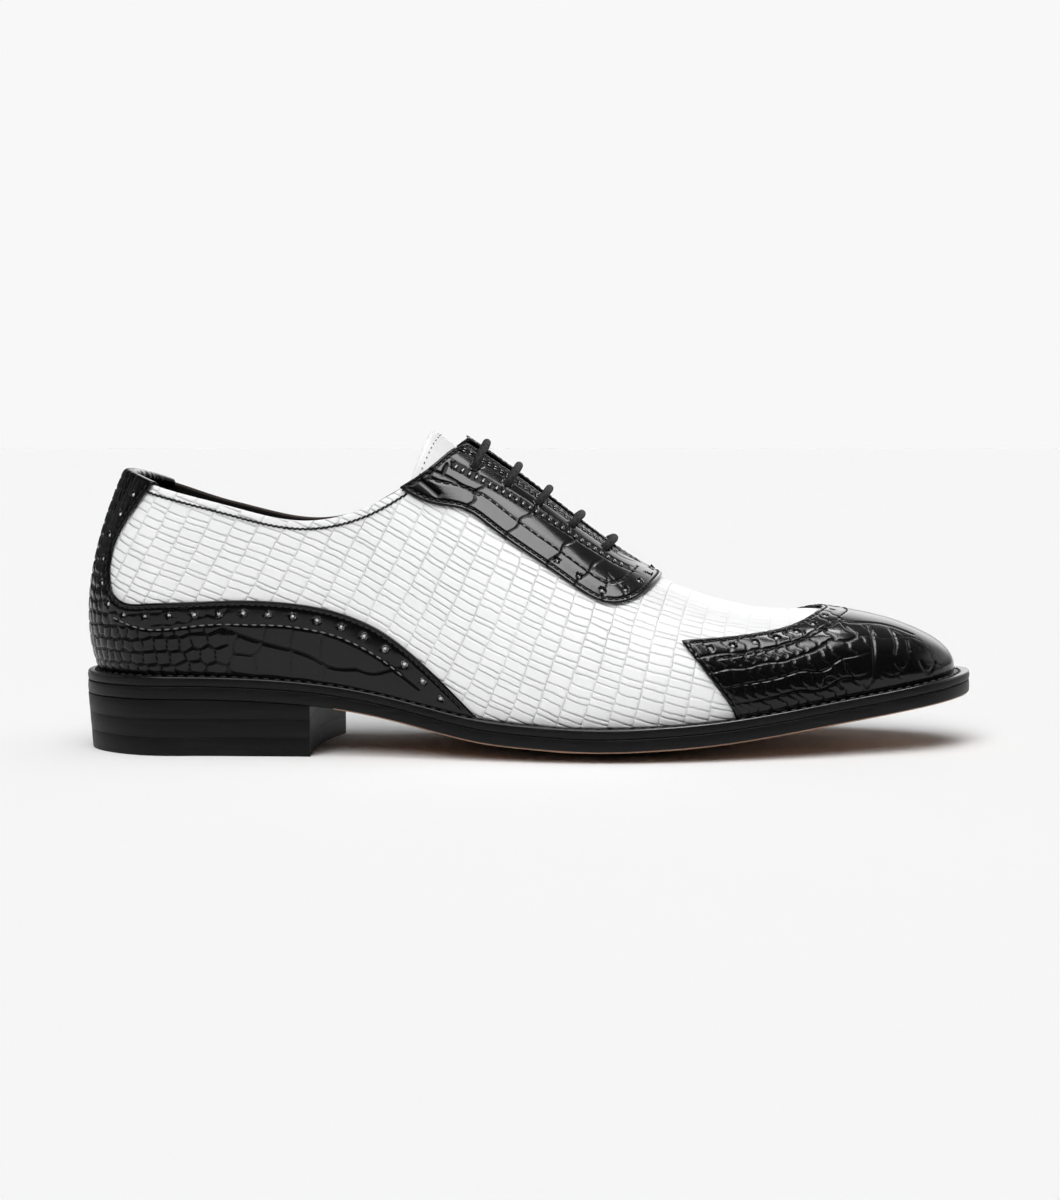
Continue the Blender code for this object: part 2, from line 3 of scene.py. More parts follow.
import bpy
import numpy as np
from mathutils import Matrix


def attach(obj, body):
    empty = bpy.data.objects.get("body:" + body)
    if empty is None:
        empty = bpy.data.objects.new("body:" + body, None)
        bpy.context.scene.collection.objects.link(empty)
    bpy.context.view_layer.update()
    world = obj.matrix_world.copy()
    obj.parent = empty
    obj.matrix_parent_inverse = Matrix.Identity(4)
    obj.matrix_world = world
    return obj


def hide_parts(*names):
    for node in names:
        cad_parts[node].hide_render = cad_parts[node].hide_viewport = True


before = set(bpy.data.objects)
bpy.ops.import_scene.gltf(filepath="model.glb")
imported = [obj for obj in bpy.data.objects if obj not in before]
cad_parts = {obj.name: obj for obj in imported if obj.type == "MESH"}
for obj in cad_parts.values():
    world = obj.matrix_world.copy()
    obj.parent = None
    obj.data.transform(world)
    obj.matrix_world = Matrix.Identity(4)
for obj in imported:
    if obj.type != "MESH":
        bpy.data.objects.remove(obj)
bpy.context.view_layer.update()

mm = 0.001
print("frame loaded:", len(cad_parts), "nodes")


# the form of the last, with the same tables as the solids, in millimetres
sectionColumns = (
    "spineX spineY turn footOut footIn rimOut rimIn bulgeOut bulgeIn bulgeZ"
    " shoulderOut shoulderIn shoulderZ top topZ"
).split()
sectionRows = [  # heel back to toe tip
    (-118, 0.0, 180, 29.5, 29.5, 5.3, 5.3, 38.1, 38.1, 48, 28.9, 28.9, 80, 13.5, 108),
    (-118, 0.0, 150, 29.2, 29.2, 5.1, 5.1, 37.4, 37.4, 48, 28.6, 28.6, 80, 14.5, 108),
    (-118, 0.0, 120, 28.7, 28.7, 4.8, 4.8, 36.2, 36.2, 48, 28.2, 28.2, 80, 16.5, 108),
    (-118, 0.0, 90, 28.3, 28.3, 4.6, 4.6, 35.6, 35.6, 47, 28.4, 28.4, 78, 19.0, 107),
    (-90, 0.0, 90, 29.4, 27.6, 4.2, 4.0, 36.2, 35.4, 45, 29.4, 29.0, 76, 20.5, 106),
    (-66, 0.0, 90, 31.6, 25.4, 3.4, 2.8, 38.2, 36.0, 44, 30.0, 29.4, 78, 20.0, 106),
    (-42, 0.5, 90, 36.2, 24.8, 3.0, 2.4, 43.6, 38.0, 44, 18.0, 17.0, 118.0, 0.0, 119.4),
    (-30, 1.2, 90, 39.6, 26.4, 3.2, 2.5, 46.6, 40.2, 43, 21.5, 20.0, 110.7, 0.0, 111.2),
    (-18, 2.0, 90, 43.0, 29.2, 3.5, 2.8, 49.4, 42.6, 42, 24.0, 22.0, 102.4, 0.0, 102.6),
    (6, 3.0, 90, 48.4, 36.6, 4.2, 3.8, 54.5, 46.4, 38, 29.0, 26.0, 85, 0.0, 85),
    (30, 3.0, 90, 50.0, 43.0, 4.5, 4.5, 56.2, 51.0, 33, 33.0, 29.0, 67, 0.0, 67),
    (55, 3.2, 90, 47.4, 43.4, 4.5, 4.5, 53.5, 49.8, 31, 33.0, 30.5, 53.8, 0.0, 53.8),
    (80, 3.5, 90, 41.8, 40.6, 4.6, 4.6, 47.2, 46.0, 30, 30.5, 30.0, 47.3, 0.0, 47.3),
    (100, 3.8, 75, 33.6, 34.4, 4.9, 4.9, 37.6, 38.4, 31.5, 25.5, 26.0, 46.6, 0.0, 46.6),
    (116, 4.0, 57, 27.4, 27.8, 5.4, 5.4, 30.0, 30.4, 32.5, 19.5, 19.8, 44.2, 0.0, 44.2),
    (126, 4.0, 32, 20.2, 20.3, 6.2, 6.2, 21.8, 21.9, 32.5, 13.5, 13.6, 41.6, 0.0, 41.6),
    (131, 4.0, 0, 15.0, 15.0, 6.8, 6.8, 15.8, 15.8, 31.5, 9.5, 9.5, 39.8, 0.0, 39.8),
]
seatLine = [
    (-160, 26.5), (-100, 26.5), (-75, 25.0), (-54, 22.0), (-36, 18.0), (-18, 14.0), (0, 12.2), (22, 11.3),
    (42, 11.9), (62, 13.3), (82, 15.8), (100, 18.5), (120, 21.3), (140, 24.2), (160, 27.0),
]
collarLine = [
    (-150, 96.0), (-139, 94.2), (-125, 90.2), (-100, 83.6), (-75, 79.0), (-64, 80.4), (-53, 84.3),
    (-44, 89.3), (-34, 96.0), (-26.4, 102.3), (-21.5, 105.6), (-14, 112.0),
]
collarDip = {"depth": 1.3, "rear": (-128, -105), "front": (-48, -62)}  # inner side of the ankle
soleWidths = ([-152, -60, -20, 10, 50, 90, 120, 152], [30, 31, 42, 50, 49, 40, 30, 8])
layers = {
    "gap": 0.3, "upperWall": 2.0, "overlayWall": 1.2, "tongueWall": 1.6, "insoleWall": 2.5,
    "weltWall": 3.3, "outsoleWall": 4.2, "forefootCamber": 4.4, "toeCamber": 1.2,
}


class Spline:
    def __init__(self, knots, values, kind="free"):
        self.knots, self.values = np.asarray(knots, float), np.asarray(values, float)
        step = np.diff(self.knots)
        rise = np.diff(self.values) / step
        if kind == "steady":  # never passes beyond its values
            product = rise[:-1] * rise[1:]
            total = np.where(product > 0, rise[:-1] + rise[1:], 1)
            self.slopes = np.concatenate([[0], np.where(product > 0, 2 * product / total, 0), [0]])
            return
        count = len(self.knots)
        matrix, right = np.zeros((count, count)), np.zeros(count)
        for i in range(1, count - 1):
            matrix[i, i - 1 : i + 2] = (1 / step[i - 1], 2 / step[i - 1] + 2 / step[i], 1 / step[i])
            right[i] = 3 * (rise[i - 1] / step[i - 1] + rise[i] / step[i])
        matrix[0, 0] = matrix[-1, -1] = 1
        if kind == "free":
            matrix[0, :2], matrix[-1, -2:] = (2, 1), (1, 2)
            right[0], right[-1] = 3 * rise[0], 3 * rise[-1]
        self.slopes = np.linalg.solve(matrix, right)

    def __call__(self, at):
        at = np.clip(at, self.knots[0], self.knots[-1])
        i = np.clip(np.searchsorted(self.knots, at) - 1, 0, len(self.knots) - 2)
        step = self.knots[i + 1] - self.knots[i]
        t = (at - self.knots[i]) / step
        return (
            self.values[i] * (1 + 2 * t) * (1 - t) ** 2
            + self.values[i + 1] * t**2 * (3 - 2 * t)
            + step * (self.slopes[i] * t * (1 - t) ** 2 - self.slopes[i + 1] * t**2 * (1 - t))
        )


def lengths(points):  # run along a line of points
    return np.concatenate([[0], np.cumsum(np.linalg.norm(np.diff(points, axis=0), axis=1))])


def through(points, step):  # a smooth line through points, about a step apart
    points = np.array(points, float)
    run = lengths(points)
    at = np.linspace(0, run[-1], max(int(round(run[-1] / step)), 2) + 1)
    return np.stack([Spline(run, points[:, i])(at) for i in range(points.shape[1])], axis=1)


def evenly(points, count):  # the same line with evenly spaced points
    run = lengths(points)
    at = np.linspace(0, run[-1], count)
    return np.stack([np.interp(at, run, column) for column in points.T], axis=1)


def onSide(share, lateral):  # girth at a share of the way up one side
    return share if lateral else 2 - share


def smoothStep(low, high, value):
    t = np.clip((value - low) / (high - low), 0, 1)
    return t * t * (3 - 2 * t)


seatHeight = Spline(*zip(*seatLine))
collarHeight = Spline(*zip(*collarLine))


def seatSurface(x, y):  # top of the welt, cambered across
    edge = np.minimum(np.interp(x, *soleWidths), 50.0) / 50.0
    share = np.minimum(np.abs(y) / 50.0, edge)
    fore, toe = layers["forefootCamber"], layers["toeCamber"]
    camber = fore * smoothStep(-70, -5, x) + (toe - fore) * smoothStep(60, 125, x)
    return seatHeight(x) - camber * (edge**2 - share**2)


def outsoleTop(x, y):
    return seatSurface(x, y) - layers["weltWall"] - layers["gap"]


def outsoleBottom(x, y):
    return np.maximum(outsoleTop(x, y) - layers["outsoleWall"], 0.0)


class Form:  # girth 0 is the lateral feather line, 1 the ridge, 2 the medial feather line
    def __init__(self):
        column = {name: np.array([row[i] for row in sectionRows]) for i, name in enumerate(sectionColumns)}
        turn = np.radians(column["turn"])
        planX = column["spineX"] + column["footOut"] * np.cos(turn)
        planY = column["spineY"] - column["footOut"] * np.sin(turn)
        run = np.concatenate([[0], np.cumsum(np.hypot(np.diff(planX), np.diff(planY)))])
        self.stations = run / run[-1]
        kinds = {"turn": "free", "top": "steady"}
        self.curves = {
            name: Spline(self.stations, column[name], kinds.get(name, "flat")) for name in sectionColumns
        }
        stations = np.linspace(self.stations[3], 1, 6000)
        self.spineTable = (np.maximum.accumulate(self.curves["spineX"](stations)), stations)

    def stationOfSpine(self, x):
        return np.interp(x, *self.spineTable)

    def sided(self, name, s, lateral):
        return np.where(lateral, self.curves[name + "Out"](s), self.curves[name + "In"](s))

    def plan(self, s, lateral, distance):
        turn = np.radians(self.curves["turn"](s))
        side = np.where(lateral, -1.0, 1.0)
        return (
            self.curves["spineX"](s) + distance * np.cos(turn),
            self.curves["spineY"](s) + side * distance * np.sin(turn),
        )

    def handles(self, s, lateral):
        foot, shoulder = self.sided("foot", s, lateral), self.sided("shoulder", s, lateral)
        turn = np.radians(self.curves["turn"](s))
        before, after = np.maximum(s - 0.004, 0), np.minimum(s + 0.004, 1)
        topZ = self.curves["topZ"](s)
        ahead, climb = (self.curves[name](after) - self.curves[name](before) for name in ("spineX", "topZ"))
        slope = climb / np.where(ahead > 0.01, ahead, 1)
        lean = np.where(turn < math.pi / 2, slope * np.cos(turn) * shoulder, 0)
        shoulderZ = np.minimum(self.curves["shoulderZ"](s), topZ) + lean
        return (
            (foot, seatSurface(*self.plan(s, lateral, foot)) + layers["gap"]),
            (self.sided("bulge", s, lateral), self.curves["bulgeZ"](s)),
            (shoulder, shoulderZ),
            (np.maximum(self.curves["top"](s), 0), topZ),
        )

    def bend(self, handles, t):  # distance and height at a share of the way up
        weights = ((1 - t) ** 3, 3 * (1 - t) ** 2 * t, 3 * (1 - t) * t**2, t**3)
        return [sum(w * handle[i] for w, handle in zip(weights, handles)) for i in (0, 1)]

    def base(self, s, g):
        s, g = np.broadcast_arrays(np.asarray(s, float), np.asarray(g, float))
        past = (s < 0) | (s > 1)  # round the back seam or the tip, onto the other side
        g = np.where(past, 2 - g, g)
        s = np.where(s < 0, -s, np.where(s > 1, 2 - s, s))
        lateral = g <= 1
        t = np.clip(np.where(lateral, g, 2 - g), 0, 1)
        distance, height = self.bend(self.handles(s, lateral), t)
        return np.stack([*self.plan(s, lateral, distance), height], axis=-1)

    def slopes(self, s, g):
        step = 0.002
        g = np.where(g <= 1, np.clip(g, step, 1 - 2 * step), np.clip(g, 1 + 2 * step, 2 - step))
        along = (self.base(s + step, g) - self.base(s - step, g)) / (2 * step)
        around = (self.base(s, g + step) - self.base(s, g - step)) / (2 * step)
        return along, around

    def normal(self, s, g):
        normal = np.cross(*self.slopes(s, g))
        return normal / np.maximum(np.linalg.norm(normal, axis=-1, keepdims=True), 1e-9)

    def point(self, s, g, lift):
        return self.base(s, g) + self.normal(s, g) * np.asarray(lift)[..., None]

    def shift(self, line, move):  # the (station, girth) change that moves points by vectors
        along, around = self.slopes(line[:, 0], line[:, 1])
        aa, ab, bb = (np.sum(p * q, axis=1) for p, q in ((along, along), (along, around), (around, around)))
        am, bm = np.sum(along * move, axis=1), np.sum(around * move, axis=1)
        bottom = np.maximum(aa * bb - ab**2, 1e-9)
        return np.stack([(am * bb - bm * ab) / bottom, (bm * aa - am * ab) / bottom], axis=1)

    def share(self, s, lateral, test):  # how far up a side test(distance, x, z, share) holds
        s = np.asarray(s, float)
        low, high = np.zeros(s.shape), np.ones(s.shape)
        handles = self.handles(s, lateral)
        for _ in range(36):
            t = (low + high) / 2
            distance, height = self.bend(handles, t)
            holds = test(distance, self.plan(s, lateral, distance)[0], height, t)
            low, high = np.where(holds, t, low), np.where(holds, high, t)
        return (low + high) / 2

    def shareAtDistance(self, s, distance, lateral=True):
        return self.share(s, lateral, lambda d, x, z, t: (d > distance) | (t < 0.3))

    def shareAtCollar(self, s, lateral):
        dip = 0.0 if lateral else collarDip["depth"]

        def below(d, x, z, t):
            side = smoothStep(*collarDip["rear"], x) * smoothStep(*collarDip["front"], x)
            return z < collarHeight(x) - dip * side

        return self.share(s, lateral, below)

    def locate(self, xz, lateral):  # (station, girth) of side-view points on one side
        s, t = np.meshgrid(np.linspace(0, 1, 201), np.linspace(0, 1, 61), indexing="ij")
        s, g = s.ravel(), onSide(t, lateral).ravel()
        table = self.base(s, g)
        line = []
        for x, z in xz:
            k = np.argmin((table[:, 0] - x) ** 2 + (table[:, 2] - z) ** 2)
            line.append((s[k], g[k]))
        line, step = np.array(line), 1e-4
        low, high = (0.0, 1.0) if lateral else (1.0 + 1e-9, 2.0)
        for _ in range(14):
            here = self.base(*line.T)[:, [0, 2]]
            ds = (self.base(line[:, 0] + step, line[:, 1])[:, [0, 2]] - here) / step
            inner = np.where(line[:, 1] > (low + high) / 2, -step, step)
            dg = (self.base(line[:, 0], line[:, 1] + inner)[:, [0, 2]] - here) / inner[:, None]
            miss = np.asarray(xz, float) - here
            bottom = ds[:, 0] * dg[:, 1] - ds[:, 1] * dg[:, 0]
            bottom = np.where(np.abs(bottom) < 1e-3, 1e-3, bottom)
            moveS = (miss[:, 0] * dg[:, 1] - miss[:, 1] * dg[:, 0]) / bottom
            moveG = (ds[:, 0] * miss[:, 1] - ds[:, 1] * miss[:, 0]) / bottom
            line[:, 0] = np.clip(line[:, 0] + np.clip(moveS, -0.03, 0.03), 0, 1)
            line[:, 1] = np.clip(line[:, 1] + np.clip(moveG, -0.05, 0.05), low, high)
        return line


form = Form()


def resample(line, shares):  # (station, girth) points at shares of a line's own length
    run = lengths(form.base(*line.T))
    at = np.asarray(shares) * run[-1]
    return np.stack([np.interp(at, run, line[:, 0]), np.interp(at, run, line[:, 1])], axis=1)


def inset(edge, toward, amount, steps=6):  # moves a line over the surface, towards another one
    line, goal = edge.copy(), form.base(*toward.T)
    for _ in range(steps):
        here = form.base(*line.T)
        across = np.cross(form.normal(*line.T), np.gradient(here, axis=0))
        across /= np.maximum(np.linalg.norm(across, axis=1, keepdims=True), 1e-9)
        if np.sum(across * (goal - here)) < 0:
            across = -across
        line = line + form.shift(line, across * amount / steps)
    return line


def ease(line, times):  # softens the bends of a line of points
    for _ in range(times):
        line[1:-1] = (line[:-2] + 2 * line[1:-1] + line[2:]) / 4
    return line


following = {"spacing": 0.4, "ease": 4, "clear": 0.94}
chunk = 4000  # points measured at once


def follow(line, goal, amount, fence):  # a line that far inside the free edge, without loops
    count = int(lengths(form.base(*line.T))[-1] / following["spacing"])
    even = ease(resample(line, np.linspace(0, 1, count)), following["ease"])
    moved = inset(even, np.repeat(np.asarray(goal)[None], count, axis=0), amount)
    return moved[lineDistance(form.base(*moved.T), fence)[0] > following["clear"] * amount]


def lineDistance(points, line):  # from each point to a polyline, and the run along it
    flat, run = points.reshape(-1, 3), lengths(line)
    starts, spans = line[:-1], np.diff(line, axis=0)
    squares = np.maximum(np.sum(spans**2, axis=1), 1e-12)
    best, where = np.empty(len(flat)), np.empty(len(flat))
    middles = (starts + line[1:]) / 2
    for first in range(0, len(flat), chunk):
        part = flat[first : first + chunk]
        near = np.argmin(((part[:, None, :] - middles[None]) ** 2).sum(-1), axis=1)
        bestPart, wherePart = np.full(len(part), 1e9), np.zeros(len(part))
        for k in (near - 1, near, near + 1):
            k = np.clip(k, 0, len(starts) - 1)
            t = np.clip(np.sum((part - starts[k]) * spans[k], axis=1) / squares[k], 0, 1)
            gone = np.linalg.norm(part - starts[k] - spans[k] * t[:, None], axis=1)
            closer = gone < bestPart
            bestPart = np.where(closer, gone, bestPart)
            wherePart = np.where(closer, run[k] + t * np.sqrt(squares[k]), wherePart)
        best[first : first + chunk], where[first : first + chunk] = bestPart, wherePart
    return best.reshape(points.shape[:-1]), where.reshape(points.shape[:-1])


def coons(bottom, top, left, right, u, v):  # a grid of (station, girth) between four lines
    low, high = resample(bottom, u)[:, None], resample(top, u)[:, None]
    near, far = resample(left, v)[None], resample(right, v)[None]
    u, v = np.asarray(u)[:, None, None], np.asarray(v)[None, :, None]
    corners = (
        (1 - u) * (1 - v) * low[:1] + u * (1 - v) * low[-1:]
        + (1 - u) * v * high[:1] + u * v * high[-1:]
    )
    return (1 - v) * low + v * high + (1 - u) * near + u * far - corners


freeEnd = {"rows": (0.0, 0.1, 0.26, 0.5, 0.85), "then": 1.3}


def closeEnds(length, step, start, end):  # shares of a length, with close rows at a free end
    close = np.array(freeEnd["rows"])
    first, final = freeEnd["then"] * start, freeEnd["then"] * end
    rows = np.linspace(first, length - final, max(int((length - first - final) / step), 2) + 1)
    if start:
        rows = np.concatenate([close, rows])
    if end:
        rows = np.concatenate([rows, length - close[::-1]])
    return rows / length


def patch(lines, size, run, start, low, high):  # a grid between four lines, close at its free ends
    u = closeEnds(lengths(form.base(*run.T))[-1], size["step"], start, False)
    v = closeEnds(size["tall"], size["step"] * size["fine"], low, high)
    grid = coons(*lines, u, v)
    return u, v, grid, form.base(grid[..., 0], grid[..., 1])


def edgeDrop(distance, radius, depth):  # a quarter round down to a cut edge
    t = np.clip(1 - distance / radius, 0, 1)
    return depth * (1 - np.sqrt(1 - t**2))


def hills(seed, count, low, high):  # a smooth random field, from waves of low to high millimetres
    rng = np.random.default_rng(seed)
    ways = rng.normal(size=(count, 3))
    ways /= np.linalg.norm(ways, axis=1, keepdims=True)
    ways *= (2 * math.pi / rng.uniform(low, high, count))[:, None]
    phases = rng.uniform(0, 2 * math.pi, count)
    return lambda points: np.sin(points @ ways.T + phases).sum(-1) / math.sqrt(count)


def addObject(name, data):
    obj = bpy.data.objects.new(name, data)
    bpy.context.scene.collection.objects.link(obj)
    return obj


# welded sheets of quads over grids of points, with a UV map and attributes
def sheetMesh(name, sheets, materials, sharp=None, weld=1e-3):
    points, quads, uvs, slots, extras, start = [], [], [], [], {}, 0
    for sheet in sheets:
        grid = sheet["points"]
        rows, columns = grid.shape[:2]
        index = start + np.arange(rows * columns).reshape(rows, columns)
        faces = np.stack([index[:-1, :-1], index[1:, :-1], index[1:, 1:], index[:-1, 1:]], -1)
        faces = faces.reshape(-1, 4)
        quads.append(faces[:, ::-1] if sheet.get("flip") else faces)
        points.append(grid.reshape(-1, 3))
        uvs.append(np.asarray(sheet.get("uv", np.zeros((rows, columns, 2)))).reshape(-1, 2))
        slots.append(np.broadcast_to(sheet.get("slot", 0), (rows - 1, columns - 1)).reshape(-1))
        for key, value in sheet.get("extras", {}).items():
            extras.setdefault(key, []).append((start, np.asarray(value).reshape(-1)))
        start += rows * columns
    points, quads = np.concatenate(points), np.concatenate(quads)
    uvs, slots = np.concatenate(uvs), np.concatenate(slots)
    spots = np.round(points / weld).astype(np.int64)
    _, first, index = np.unique(spots, axis=0, return_index=True, return_inverse=True)
    index = index.reshape(-1)
    faces, corners, kept = [], [], []
    for quad, merged, slot in zip(quads.tolist(), index[quads].tolist(), slots.tolist()):
        face, corner = [], []
        for a, b in zip(merged, quad):
            if a not in face:
                face.append(a)
                corner.append(b)
        if len(face) > 2:
            faces.append(face)
            corners += corner
            kept.append(slot)
    mesh = bpy.data.meshes.new(name)
    mesh.from_pydata((points[first] * mm).tolist(), [], faces)
    mesh.uv_layers.new(name="scales").data.foreach_set("uv", uvs[corners].astype(np.float32).ravel())
    mesh.polygons.foreach_set("material_index", np.array(kept, np.int32))
    for key, parts in extras.items():
        values = np.zeros(len(points), np.float32)
        for at, part in parts:
            values[at : at + len(part)] = part
        mesh.attributes.new(key, "FLOAT", "POINT").data.foreach_set("value", values[first])
    for material in materials:
        mesh.materials.append(material)
    mesh.shade_smooth()
    if sharp:
        mesh.set_sharp_from_angle(angle=math.radians(sharp))
    mesh.update()
    return addObject(name, mesh)


def thicken(obj, wall):
    solid = obj.modifiers.new("wall", "SOLIDIFY")
    solid.thickness, solid.offset = wall * mm, -1.0
    solid.use_even_offset = False
    return obj


def place(piece, slot, *nodes):
    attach(piece, "root")
    if nodes:
        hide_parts(*nodes)
    return piece


def addNode(tree, kind, settings=None, sockets=None):  # returns the new node's outputs
    made = tree.nodes.new(kind)
    for key, value in (settings or {}).items():
        setattr(made, key, value)
    for key, value in (sockets or {}).items():
        if isinstance(value, bpy.types.NodeSocket):
            tree.links.new(value, made.inputs[key])
        else:
            made.inputs[key].default_value = value
    return made.outputs


# shader maths: sockets with operators, and one method that makes any other node
class Wire:
    def __init__(self, owner, socket):
        self.owner, self.socket = owner, socket

    def __add__(self, other):
        return self.owner.maths("ADD", self, other)

    def __radd__(self, other):
        return self.owner.maths("ADD", other, self)

    def __sub__(self, other):
        return self.owner.maths("SUBTRACT", self, other)

    def __rsub__(self, other):
        return self.owner.maths("SUBTRACT", other, self)

    def __mul__(self, other):
        return self.owner.maths("MULTIPLY", self, other)

    def __rmul__(self, other):
        return self.owner.maths("MULTIPLY", other, self)

    def __truediv__(self, other):
        return self.owner.maths("DIVIDE", self, other)

    def __rtruediv__(self, other):
        return self.owner.maths("DIVIDE", other, self)


class Finish:
    def __init__(self, name, **constants):
        self.material = bpy.data.materials.new(name)
        self.material.use_nodes = True
        self.tree = self.material.node_tree
        self.shader = self.tree.nodes["Principled BSDF"]
        for key, value in constants.items():
            self.shader.inputs[key].default_value = value

    def node(self, kind, settings=None, sockets=None, out=0):
        plain = {
            key: value.socket if isinstance(value, Wire) else value for key, value in (sockets or {}).items()
        }
        return Wire(self, addNode(self.tree, kind, settings, plain)[out])

    def maths(self, operation, a, b=0.0):
        return self.node("ShaderNodeMath", {"operation": operation}, {0: a, 1: b})

    def feed(self, name, wire):
        self.tree.links.new(wire.socket, self.shader.inputs[name])

    def attribute(self, name):
        return self.node("ShaderNodeAttribute", {"attribute_name": name}, out="Fac")

    def coords(self, scale=(1, 1, 1)):
        where = self.node("ShaderNodeTexCoord", out="Object")
        return self.node("ShaderNodeMapping", None, {"Vector": where, "Scale": scale})

    def axis(self, vector, index):
        return self.node("ShaderNodeSeparateXYZ", None, {0: vector}, out=index)

    def noise(self, vector, scale, detail, roughness=0.5):
        sockets = {"Vector": vector, "Scale": scale, "Detail": detail, "Roughness": roughness}
        return self.node("ShaderNodeTexNoise", None, sockets, out="Fac")

    def step(self, value, low, high):  # 0 below low, 1 above high
        sockets = {"Value": value, "From Min": low, "From Max": high}
        return self.node("ShaderNodeMapRange", {"interpolation_type": "SMOOTHSTEP"}, sockets)

    def mix(self, share, a, b):
        sockets = {0: share, 6: (*a, 1), 7: (*b, 1)}
        return self.node("ShaderNodeMix", {"data_type": "RGBA", "clamp_factor": True}, sockets, out=2)

    def bump(self, height, distance):
        self.feed("Normal", self.node("ShaderNodeBump", None, {"Height": height, "Distance": distance}))


# the grey for the cell lines is painted shade in the emboss grooves; the lines also set roughness and the
# bump
lizardFinish = {
    "white": (0.885, 0.888, 0.888), "line": (0.42, 0.43, 0.445), "grooveShadeShare": 0.34, "bandLine": 0.045,
    "cellLine": 0.11, "uneven": 0.5, "depth": 0.00034, "roughness": 0.36, "coat": 0.2,
    "calm": 0.65, "calmX": (0.02, 0.075), "calmZ": (0.025, 0.05),  # fainter on top of the vamp
}


def whiteLizard():
    f = Finish("whiteLizard", **{
        "Coat Weight": lizardFinish["coat"], "Coat Roughness": 0.22, "Specular IOR Level": 0.45,
    })
    cut = f.node("ShaderNodeUVMap", {"uv_map": "scales"})
    where = f.coords()
    wobble, wander, fine = (f.noise(where, scale, 2.0) - 0.5 for scale in (45.0, 120.0, 260.0))
    bandAt = f.axis(cut, 0) + wobble * 0.16 + wander * 0.1 + fine * 0.07
    band = f.maths("FLOOR", bandAt)
    inBand = bandAt - band
    chance = f.node("ShaderNodeTexWhiteNoise", {"noise_dimensions": "1D"}, {"W": band}, out="Value")
    cellAt = f.axis(cut, 1) * (0.9 + chance * 0.24) + chance * 17.0
    cellAt = cellAt + fine * 0.24 + wander * 0.22 + wobble * 0.45
    cell = f.maths("FLOOR", cellAt)

    def lot(row):  # one chance for each cell
        pair = f.node("ShaderNodeCombineXYZ", None, {0: band, 1: row})
        return f.node("ShaderNodeTexWhiteNoise", {"noise_dimensions": "2D"}, {"Vector": pair}, out="Value")

    tone, uneven = lot(cell), lizardFinish["uneven"]
    below = f.maths("ABSOLUTE", cellAt - cell - (tone - 0.5) * uneven)
    over = f.maths("ABSOLUTE", cellAt - cell - 1 - (lot(cell + 1) - 0.5) * uneven)
    toBand = f.maths("MINIMUM", inBand, 1 - inBand)
    toCell = f.maths("MINIMUM", below, over)
    bandLine = 1 - f.step(toBand, 0.0, lizardFinish["bandLine"])
    cellLine = (1 - f.step(toCell, 0.0, lizardFinish["cellLine"])) * f.step(toBand, 0.0, 0.1)
    patchy = f.step(f.noise(where, 55.0, 2.0), 0.3, 0.65)
    ahead = f.step(f.axis(where, 0), *lizardFinish["calmX"])
    above = f.step(f.axis(where, 2), *lizardFinish["calmZ"])
    calm = 1 - ahead * above * lizardFinish["calm"]
    bandLine, cellLine = bandLine * (0.35 + patchy * 0.3), cellLine * (0.4 + tone * 0.35 + patchy * 0.35)
    line = f.maths("MAXIMUM", bandLine, cellLine)
    crown = f.step(toBand, 0.0, 0.14) * 0.45 + f.step(toCell, 0.0, 0.26) * 0.75
    pores = f.noise(where, 1500.0, 2.0)
    crumple = f.noise(where, 420.0, 3.0)
    # painted shade: grey mixed into the white along the cell lines, weaker on top of the vamp
    lizardGrooveShade = line * calm * lizardFinish["grooveShadeShare"]
    f.feed("Base Color", f.mix(lizardGrooveShade, lizardFinish["white"], lizardFinish["line"]))
    f.feed("Roughness", lizardFinish["roughness"] + line * 0.2 + tone * 0.06)
    height = (crown + tone * 0.15 - line * 1.0 + crumple * 0.5 * patchy) * calm + pores * 0.04
    f.bump(height, lizardFinish["depth"])
    return f.material


crocFinish = {"black": (0.0032, 0.0032, 0.0035), "crocGrooveShade": (0.0008, 0.0008, 0.0008), "roughness": 0.1}


def blackCroc(name, coat, specular):
    f = Finish(name, **{"Coat Weight": coat, "Coat Roughness": 0.06, "Specular IOR Level": specular})
    groove = f.attribute("groove")
    where = f.coords()
    cloud = f.noise(where, 220.0, 4.0)
    pores = f.noise(where, 2400.0, 2.0)
    # painted shade: the groove attribute darkens the grooves, creases, thread furrows and bead beds
    f.feed("Base Color", f.mix(groove, crocFinish["black"], crocFinish["crocGrooveShade"]))
    f.feed("Metallic", f.step(groove, 0.3, 0.85) * 0.95)  # metal with the near-black groove colour takes the shine out too: painted shade in the grooves
    f.feed("Roughness", crocFinish["roughness"] + groove * 0.35 + cloud * 0.1)
    f.bump(cloud * 0.6 + pores * 0.16, 0.00009)
    return f.material


def edgePaint(name, base, roughness, streak, specular=0.24, coat=0.0):
    f = Finish(name, **{"Specular IOR Level": specular, "Coat Weight": coat, "Coat Roughness": 0.12})
    lengthwise = f.noise(f.coords((1, 1, 14)), streak, 4.0, 0.6)
    grit = f.noise(f.coords(), 900.0, 3.0, 0.7)
    pale = tuple(min(c * 2.2 + 0.006, 1) for c in base)
    f.feed("Base Color", f.mix(f.step(lengthwise, 0.45, 0.8) * 0.5, base, pale))
    f.feed("Roughness", roughness + lengthwise * 0.12 + grit * 0.1)
    f.bump(lengthwise * 0.7 + grit * 0.5, 0.00012)
    return f.material


